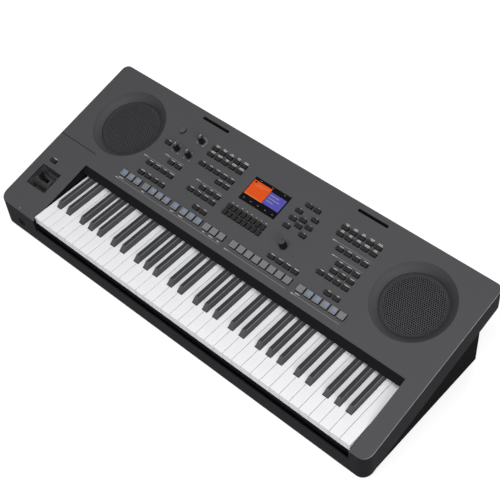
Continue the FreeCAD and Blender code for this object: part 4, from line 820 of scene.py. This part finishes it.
class KEYBOARD_OT_buttons(bpy.types.Operator):
    """Finish the buttons and the pads; some pads are lit"""
    bl_idname = "keyboard.buttons"
    bl_label = "Buttons and pads"

    def execute(self, context):
        colors = settings().colors
        button = plastic("button_plastic", colors.button, roughness=0.5)
        # Painted shade on the buttons' sides
        repaint_steep(button, colors.button_side_shade)
        dress(button, *BUTTON_GROUPS, "display_buttons", "mode_button")
        power = plastic("power_plastic", colors.deck, roughness=0.5)
        # Painted shade on the power button's sides
        repaint_steep(power, colors.button_side_shade)
        dress(power, "power_button")
        places = {group: solid_places(group) for group in LIT_PADS}
        lit = [places[group][index] for group, pads in LIT_PADS.items() for index in pads]
        first, second = places["left_pads"][:2]
        dress(lit_pad_material(lit, GLOW_REACH * (second[0] - first[0])), *PAD_GROUPS)
        return {"FINISHED"}


class KEYBOARD_OT_controls(bpy.types.Operator):
    """Finish the knobs, the data dial and the joystick"""
    bl_idname = "keyboard.controls"
    bl_label = "Knobs and joystick"

    def execute(self, context):
        colors = settings().colors
        dress(plastic("drum_plastic", colors.dish, roughness=0.45), "joystick_drum")
        dress(plastic("stick_plastic", colors.knob, roughness=0.4), "joystick_lever")
        dress(capped_plastic("dial_plastic", "data_dial"), "data_dial")
        paint = ink("pointer_paint", colors.mark)
        for knob in KNOBS:
            dress(capped_plastic(knob + "_plastic", knob), knob)
            across, up = solid_places(knob)[0]
            low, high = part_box(knob)
            reach = POINTER_REACH * (high.x - low.x)
            pointer = ((across, up + reach / 2, top_level(knob)), settings().marks.dash_width, reach, 0.0)
            plates(knob + "_pointer", paint, knob, [pointer])
        return {"FINISHED"}


class KEYBOARD_OT_hardware(bpy.types.Operator):
    """Finish sockets, feet, screws and everything inside"""
    bl_idname = "keyboard.hardware"
    bl_label = "Hardware"

    def jack_ring(self, material):
        """The dark ring about the headphone jack, on the front of the left cheek."""
        low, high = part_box("phones_jack")
        sizes = settings().hardware
        front = Vector(((low.x + high.x) / 2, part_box("upper_case")[0].y - sizes.ring_thickness,
                        (low.z + high.z) / 2))
        shape = bmesh.new()
        add_ring(shape, Matrix.Translation(front) @ Matrix.Rotation(math.radians(90), 4, "X"),
                 sizes.ring_inner, sizes.ring_outer, 2 * sizes.ring_thickness)
        bmesh.ops.recalc_face_normals(shape, faces=shape.faces)
        shaped("phones_ring", shape, material, CASE_BODY)

    def execute(self, context):
        colors = settings().colors
        component = plastic("component_plastic", colors.component, roughness=0.5)
        dress(component, "rear_jacks", "dc_inlet", "potentiometers", "panel_switches", "display_module")
        jack_black = plastic("jack_black", colors.jack, roughness=0.6, gloss=0.02)
        dress(jack_black, "phones_jack")
        self.jack_ring(jack_black)
        dress(plastic("foot_rubber", colors.rubber, roughness=0.8, grain=700.0, bump=0.4),
              "rubber_feet", "key_contact_rubber")
        dress(metal("screw_steel", colors.steel, roughness=0.35),
              "case_screws", "key_pivot_rod", "usb_socket")
        dress(plastic("speaker_black", colors.speaker, roughness=0.8, grain=500.0, bump=0.4), "speakers")
        dress(plastic("stop_felt", colors.felt, roughness=0.95, grain=900.0, bump=0.6), "key_stop_felt")
        dress(plastic("board_lacquer", colors.board, roughness=0.35), "left_panel_board",
              "center_panel_board", "right_panel_board", "main_board", "key_contact_board")
        return {"FINISHED"}


# Operators: pieces made here

class KEYBOARD_OT_grilles(bpy.types.Operator):
    """Make the perforated speaker grilles with their plain rims"""
    bl_idname = "keyboard.grilles"
    bl_label = "Speaker grilles"

    def cell(self, sizes):
        """One six-sided cell with a hole, closed above, below and inside the hole."""
        outer = sizes.pitch / math.sqrt(3)
        hole = sizes.pitch * sizes.hole_share
        rings = [(outer, 0.0), (hole, 0.0), (hole, -sizes.thickness), (outer, -sizes.thickness)]
        corners = []
        for radius, height in rings:
            for side in range(CELL_SIDES):
                angle = math.radians(360 / CELL_SIDES * (side + 0.5))
                corners.append((radius * math.cos(angle), radius * math.sin(angle), height))
        faces = []
        for ring in range(len(rings) - 1):
            first = CELL_SIDES * ring
            second = first + CELL_SIDES
            for side in range(CELL_SIDES):
                nearby = (side + 1) % CELL_SIDES
                faces.append((first + side, first + nearby, second + nearby, second + side))
        return placed("grille_cell", plain_mesh("grille_cell", corners, faces))

    def cell_places(self, pitch, radius):
        """Middles of the cells of a six-sided lattice inside a radius."""
        row_step = pitch * math.sqrt(3) / 2
        rows = int(radius / row_step) + 1
        columns = int(radius / pitch) + 2
        places = []
        for row in range(-rows, rows + 1):
            for column in range(-columns, columns + 1):
                across = (column + 0.5 * (row % 2)) * pitch
                if math.hypot(across, row * row_step) < radius - pitch / 2:
                    places.append((across, row * row_step, 0.0))
        return places

    def execute(self, context):
        sizes = settings().grille
        material = plastic("grille_paint", settings().colors.grille, roughness=0.5, grain=1000.0)
        tree = grille_tree()
        cell = self.cell(sizes)
        pieces = []
        for side, (middle, plate_radius) in grille_plates().items():
            sheet_radius = plate_radius - sizes.rim / 2
            lattice = plain_mesh("lattice", self.cell_places(sizes.pitch, sheet_radius))
            piece = baked("grille_" + side, lattice, tree,
                          {"Cell": cell, "Radius": sheet_radius, "Dome": sizes.dome}, material)
            piece.data.transform(DECK @ Matrix.Translation(middle))
            shape = bmesh.new()
            shape.from_mesh(piece.data)
            add_ring(shape, DECK @ Matrix.Translation(middle), plate_radius - sizes.rim, plate_radius,
                     2 * sizes.thickness)
            bmesh.ops.recalc_face_normals(shape, faces=shape.faces)
            shape.to_mesh(piece.data)
            shape.free()
            pieces.append(piece)
        bpy.data.objects.remove(cell)
        for piece in pieces:
            fitted(piece, CASE_BODY)
        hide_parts("speaker_grilles")
        return {"FINISHED"}


class KEYBOARD_OT_display(bpy.types.Operator):
    """Finish the display window and lay the lit picture on it"""
    bl_idname = "keyboard.display"
    bl_label = "Display"

    def plate(self, columns, rows, lift):
        """A plate between two columns and two rows of the window, given as shares of its size."""
        left, right = [self.low.x + share * (self.high.x - self.low.x) for share in columns]
        near, far = [self.low.y + share * (self.high.y - self.low.y) for share in rows]
        out = self.high.z + lift * settings().marks.thickness
        return ((left + right) / 2, (near + far) / 2, out), right - left, far - near, 0.0

    def laid(self, name, material, parts, lift=0):
        """Lays parts of the picture on the window, over a given number of other plates."""
        items = [self.plate(columns, rows, lift) for columns, rows in parts]
        plates(name, material, CASE_BODY, items)

    def lit(self, name, color, parts, lift=0):
        """Lays lit parts of one colour on the window."""
        self.laid(name, screen_material(name, color), parts, lift)

    def specks(self):
        """Small marks in even rows on the window's border."""
        parts = []
        for row, count in SPECK_ROWS.items():
            for index in range(count):
                column = (index + 0.5) / count
                parts.append(((column - SPECK_HALF_WIDTH, column + SPECK_HALF_WIDTH),
                              (row - SPECK_HALF_DEPTH, row + SPECK_HALF_DEPTH)))
        return parts

    def execute(self, context):
        colors = settings().colors
        glass = plastic("window_gloss", colors.window, roughness=0.15, bump=0.0, gloss=0.05)
        dress(glass, "display_window")
        self.low, self.high = corner_box(deck_points("display_window"))
        self.lit("screen_orange", colors.screen_left, [ORANGE_FIELD])
        self.lit("screen_violet", colors.screen_right, [VIOLET_FIELD])
        self.lit("screen_bars_left", colors.bars_left, ORANGE_BARS, lift=1)
        self.lit("screen_bars_right", colors.bars_right, VIOLET_BARS, lift=1)
        self.laid("screen_square", glass, [ORANGE_SQUARE], lift=1)
        border_print = plastic("window_print", colors.window_mark, roughness=0.6, bump=0.0)
        self.laid("window_specks", border_print, self.specks())
        return {"FINISHED"}


class KEYBOARD_OT_marks(bpy.types.Operator):
    """Print plain dashes, ticks and lines on the deck, with no lettering"""
    bl_idname = "keyboard.marks"
    bl_label = "Printed marks"

    def dashes(self, name, points, length, seed, material):
        """Dashes of varied length with their middles at given points."""
        sizes = settings().marks
        values = {"Length": length, "Width": sizes.dash_width, "Thickness": 2 * sizes.thickness,
                  "Slope": DECK_SLOPE, "Seed": seed}
        piece = baked(name, plain_mesh(name + "_points", points), self.tree, values, material)
        fitted(piece, CASE_BODY)

    def captions(self):
        """Places of the dashes above the buttons, two lines for the upper groups, and below some pads."""
        sizes = settings().marks
        points = []
        for group in CAPTION_GROUPS:
            lines = 2 if "upper" in group else 1
            for across, up in solid_places(group):
                for line in range(lines):
                    points.append(on_deck(across, up + sizes.dash_offset + line * sizes.dash_pitch))
        for group, pads in PAD_CAPTIONS.items():
            places = solid_places(group)
            for index in pads:
                across, up = places[index]
                points.append(on_deck(across, up - sizes.pad_dash_offset))
        return points

    def dots(self):
        """Places of the short marks over the display and cursor buttons and beside the headphone jack."""
        sizes = settings().marks
        places = solid_places("display_buttons")
        rear_row = max(up for across, up in places)
        points = []
        for across, up in places:
            if rear_row - up < sizes.dash_offset:
                points.append(on_deck(across, up + sizes.header_offset))
        points += [on_deck(across, up + sizes.dash_offset) for across, up in solid_places("cursor_buttons")]
        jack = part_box("phones_jack")
        points.append(on_deck((jack[0].x + jack[1].x) / 2, sizes.dash_offset))
        return points

    def line(self, start, stop, up):
        """A thin line across the deck from one place to another."""
        return ((start + stop) / 2, up, 0.0), stop - start, settings().marks.line_width, 0.0

    def headers(self):
        """Thin lines over some rows of buttons; rows are told apart to a millimetre."""
        sizes = settings().marks
        lines = []
        for group, rows in HEADER_ROWS.items():
            places = solid_places(group)
            levels = sorted({round(up, 3) for across, up in places})
            for row in rows:
                in_row = [across for across, up in places if round(up, 3) == levels[row]]
                start = min(in_row) - sizes.header_lead
                stop = max(in_row) + sizes.dash_offset
                lines.append(self.line(start, stop, levels[row] + sizes.header_offset))
        return lines

    def leads(self, lines):
        """A wider dash at the left end of each thin line."""
        sizes = settings().marks
        return [((across - length / 2, up, out), sizes.dash_length, sizes.dash_width, turn)
                for (across, up, out), length, width, turn in lines]

    def ticks(self, knob, count):
        """Ticks three quarters of the way round a knob."""
        sizes = settings().marks
        across, up = solid_places(knob)[0]
        ticks = []
        for index in range(count):
            angle = math.radians(90) + TICK_SWEEP / 2 - TICK_SWEEP * index / (count - 1)
            beside = sizes.tick_radius * math.cos(angle)
            above = sizes.tick_radius * math.sin(angle)
            ticks.append(((across + beside, up + above, 0.0), sizes.tick_length, sizes.line_width, angle))
        return ticks

    def pad_lines(self):
        """Thin lines under the pad row, one for each run of pads."""
        sizes = settings().marks
        lines = []
        left = solid_places("left_pads") + solid_places("section_pads")
        for run in (left, solid_places("center_pads"), solid_places("right_pads")):
            start = run[0][0] - sizes.dash_offset
            stop = run[-1][0] + sizes.dash_offset
            lines.append(self.line(start, stop, run[0][1] - sizes.pad_line_offset))
        return lines

    def seam(self):
        """The dark seam across the left cheek, level with the pads."""
        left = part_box("upper_case")[0].x
        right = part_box("c_keys")[0].x
        up = solid_places("left_pads")[0][1]
        length = SEAM_REACH * (right - left)
        return [(((left + right) / 2, up, 0.0), length, settings().marks.dash_width, 0.0)]

    def execute(self, context):
        sizes = settings().marks
        colors = settings().colors
        material = ink("printed_mark", colors.mark)
        self.tree = dash_tree()
        self.dashes("button_captions", self.captions(), sizes.dash_length, CAPTION_SEED, material)
        self.dashes("short_marks", self.dots(), sizes.dot_length, DOT_SEED, material)
        faint = ink("printed_line", colors.line)
        lines = self.headers() + self.pad_lines()
        plates("deck_lines", faint, CASE_BODY, lines)
        ticks = self.ticks("volume_knob", sizes.tick_count)
        for knob in KNOBS[1:]:
            ticks += self.ticks(knob, LEVEL_TICKS)
        plates("deck_ticks", material, CASE_BODY, self.leads(lines) + ticks)
        seam_dark = plastic("seam_dark", colors.tray, roughness=0.7, bump=0.0)
        plates("deck_seam", seam_dark, CASE_BODY, self.seam())
        return {"FINISHED"}


class KEYBOARD_OT_stage(bpy.types.Operator):
    """Set up the pale floor, the soft light and the camera"""
    bl_idname = "keyboard.stage"
    bl_label = "Stage"

    def camera(self):
        """The camera at the photograph's angle."""
        stage = settings().stage
        level = math.cos(stage.pitch)
        back = Vector((math.sin(stage.yaw) * level, -math.cos(stage.yaw) * level, math.sin(stage.pitch)))
        right = Vector((math.cos(stage.yaw), math.sin(stage.yaw), 0.0))
        up = back.cross(right)
        rolled_right = math.cos(stage.roll) * right + math.sin(stage.roll) * up
        rolled_up = -math.sin(stage.roll) * right + math.cos(stage.roll) * up
        turn = Matrix((rolled_right, rolled_up, back)).transposed().to_4x4()
        data = bpy.data.cameras.new("photo_camera")
        data.sensor_width = SENSOR_WIDTH
        data.sensor_fit = "HORIZONTAL"
        data.lens = stage.focal_pixels / PHOTO_PIXELS * SENSOR_WIDTH
        data.clip_end = FAR_CLIP
        camera = placed("photo_camera", data)
        camera.matrix_world = Matrix.Translation(Vector(stage.place)) @ turn
        bpy.context.scene.camera = camera

    def lamp(self, name, power, size, place):
        """A round soft light that points at the origin."""
        data = bpy.data.lights.new(name, "AREA")
        data.energy = power
        data.shape = "DISK"
        data.size = size
        lamp = placed(name, data)
        lamp.location = place
        lamp.rotation_euler = (-Vector(place)).to_track_quat("-Z", "Y").to_euler()

    def seen_rays(self, tree):
        """One for camera rays, mirrored rays and rays through glass, which see the pale background."""
        path = tree.nodes.new("ShaderNodeLightPath")
        seen = math_node(tree, "MAXIMUM", path.outputs["Is Camera Ray"], path.outputs["Is Glossy Ray"])
        return math_node(tree, "MAXIMUM", seen, path.outputs["Is Transmission Ray"])

    def world(self):
        """Even surrounding light, with a white background for the rays that see it."""
        world = bpy.data.worlds.new("studio")
        bpy.context.scene.world = world
        world.use_nodes = True
        tree = world.node_tree
        background = tree.nodes["Background"]
        background.inputs["Color"].default_value = (1.0, 1.0, 1.0, 1.0)
        level = settings().stage.world_level
        extra = math_node(tree, "MULTIPLY", self.seen_rays(tree), 1.0 - level)
        tree.links.new(math_node(tree, "ADD", extra, level), background.inputs["Strength"])

    def floor(self):
        """The pale floor, which is brighter for the rays that see it."""
        stage = settings().stage
        corners = [(FLOOR_HALF * x, FLOOR_HALF * y, 0.0) for x, y in ((-1, -1), (1, -1), (1, 1), (-1, 1))]
        mesh = plain_mesh("floor", corners, [(0, 1, 2, 3)])
        material, tree, shader = new_material("pale_floor")
        shader["Base Color"].default_value = (*[stage.floor_level] * 3, 1.0)
        shader["Roughness"].default_value = 0.9
        strength = math_node(tree, "MULTIPLY", self.seen_rays(tree), stage.floor_glow)
        glow = added(tree, "ShaderNodeEmission", Color=(1.0, 1.0, 1.0), Strength=strength)
        both = tree.nodes.new("ShaderNodeAddShader")
        tree.links.new(tree.nodes["Principled BSDF"].outputs[0], both.inputs[0])
        tree.links.new(glow.outputs[0], both.inputs[1])
        tree.links.new(both.outputs[0], tree.nodes["Material Output"].inputs["Surface"])
        floor = linked("floor", mesh, material)

    def execute(self, context):
        stage = settings().stage
        context.scene.view_settings.view_transform = "Standard"
        self.camera()
        self.world()
        self.floor()
        powers = {"key": stage.key_power, "fill": stage.fill_power, "rear": stage.rear_power}
        for name, (size, place) in LAMPS.items():
            self.lamp(name + "_light", powers[name], size, place)
        return {"FINISHED"}


class KEYBOARD_PT_pieces(bpy.types.Panel):
    """Lists the pieces of the keyboard"""
    bl_label = "Arranger keyboard"
    bl_idname = "KEYBOARD_PT_pieces"
    bl_space_type = "VIEW_3D"
    bl_region_type = "UI"
    bl_category = "Keyboard"

    def draw(self, context):
        for operator in OPERATORS:
            self.layout.operator(operator.bl_idname)
        keyboard = settings()
        for group in (keyboard.colors, keyboard.grille, keyboard.hardware, keyboard.marks, keyboard.stage):
            column = self.layout.column()
            for name in group.bl_rna.properties.keys():
                if name not in ("rna_type", "name"):
                    column.prop(group, name)


OPERATORS = [KEYBOARD_OT_shared_effects, KEYBOARD_OT_casing, KEYBOARD_OT_keys, KEYBOARD_OT_buttons,
             KEYBOARD_OT_controls, KEYBOARD_OT_hardware, KEYBOARD_OT_grilles, KEYBOARD_OT_display,
             KEYBOARD_OT_marks, KEYBOARD_OT_stage]
CLASSES = [KeyboardColors, KeyboardGrille, KeyboardHardware, KeyboardMarks, KeyboardStage, KeyboardSettings,
           *OPERATORS, KEYBOARD_PT_pieces]


def register():
    for item in CLASSES:
        bpy.utils.register_class(item)
    bpy.types.Scene.arranger_keyboard = PointerProperty(type=KeyboardSettings)


def unregister():
    del bpy.types.Scene.arranger_keyboard
    for item in reversed(CLASSES):
        bpy.utils.unregister_class(item)


def main():
    register()
    for operator in OPERATORS:
        category, name = operator.bl_idname.split(".")
        getattr(getattr(bpy.ops, category), name)()


if __name__ == "__main__":
    main()
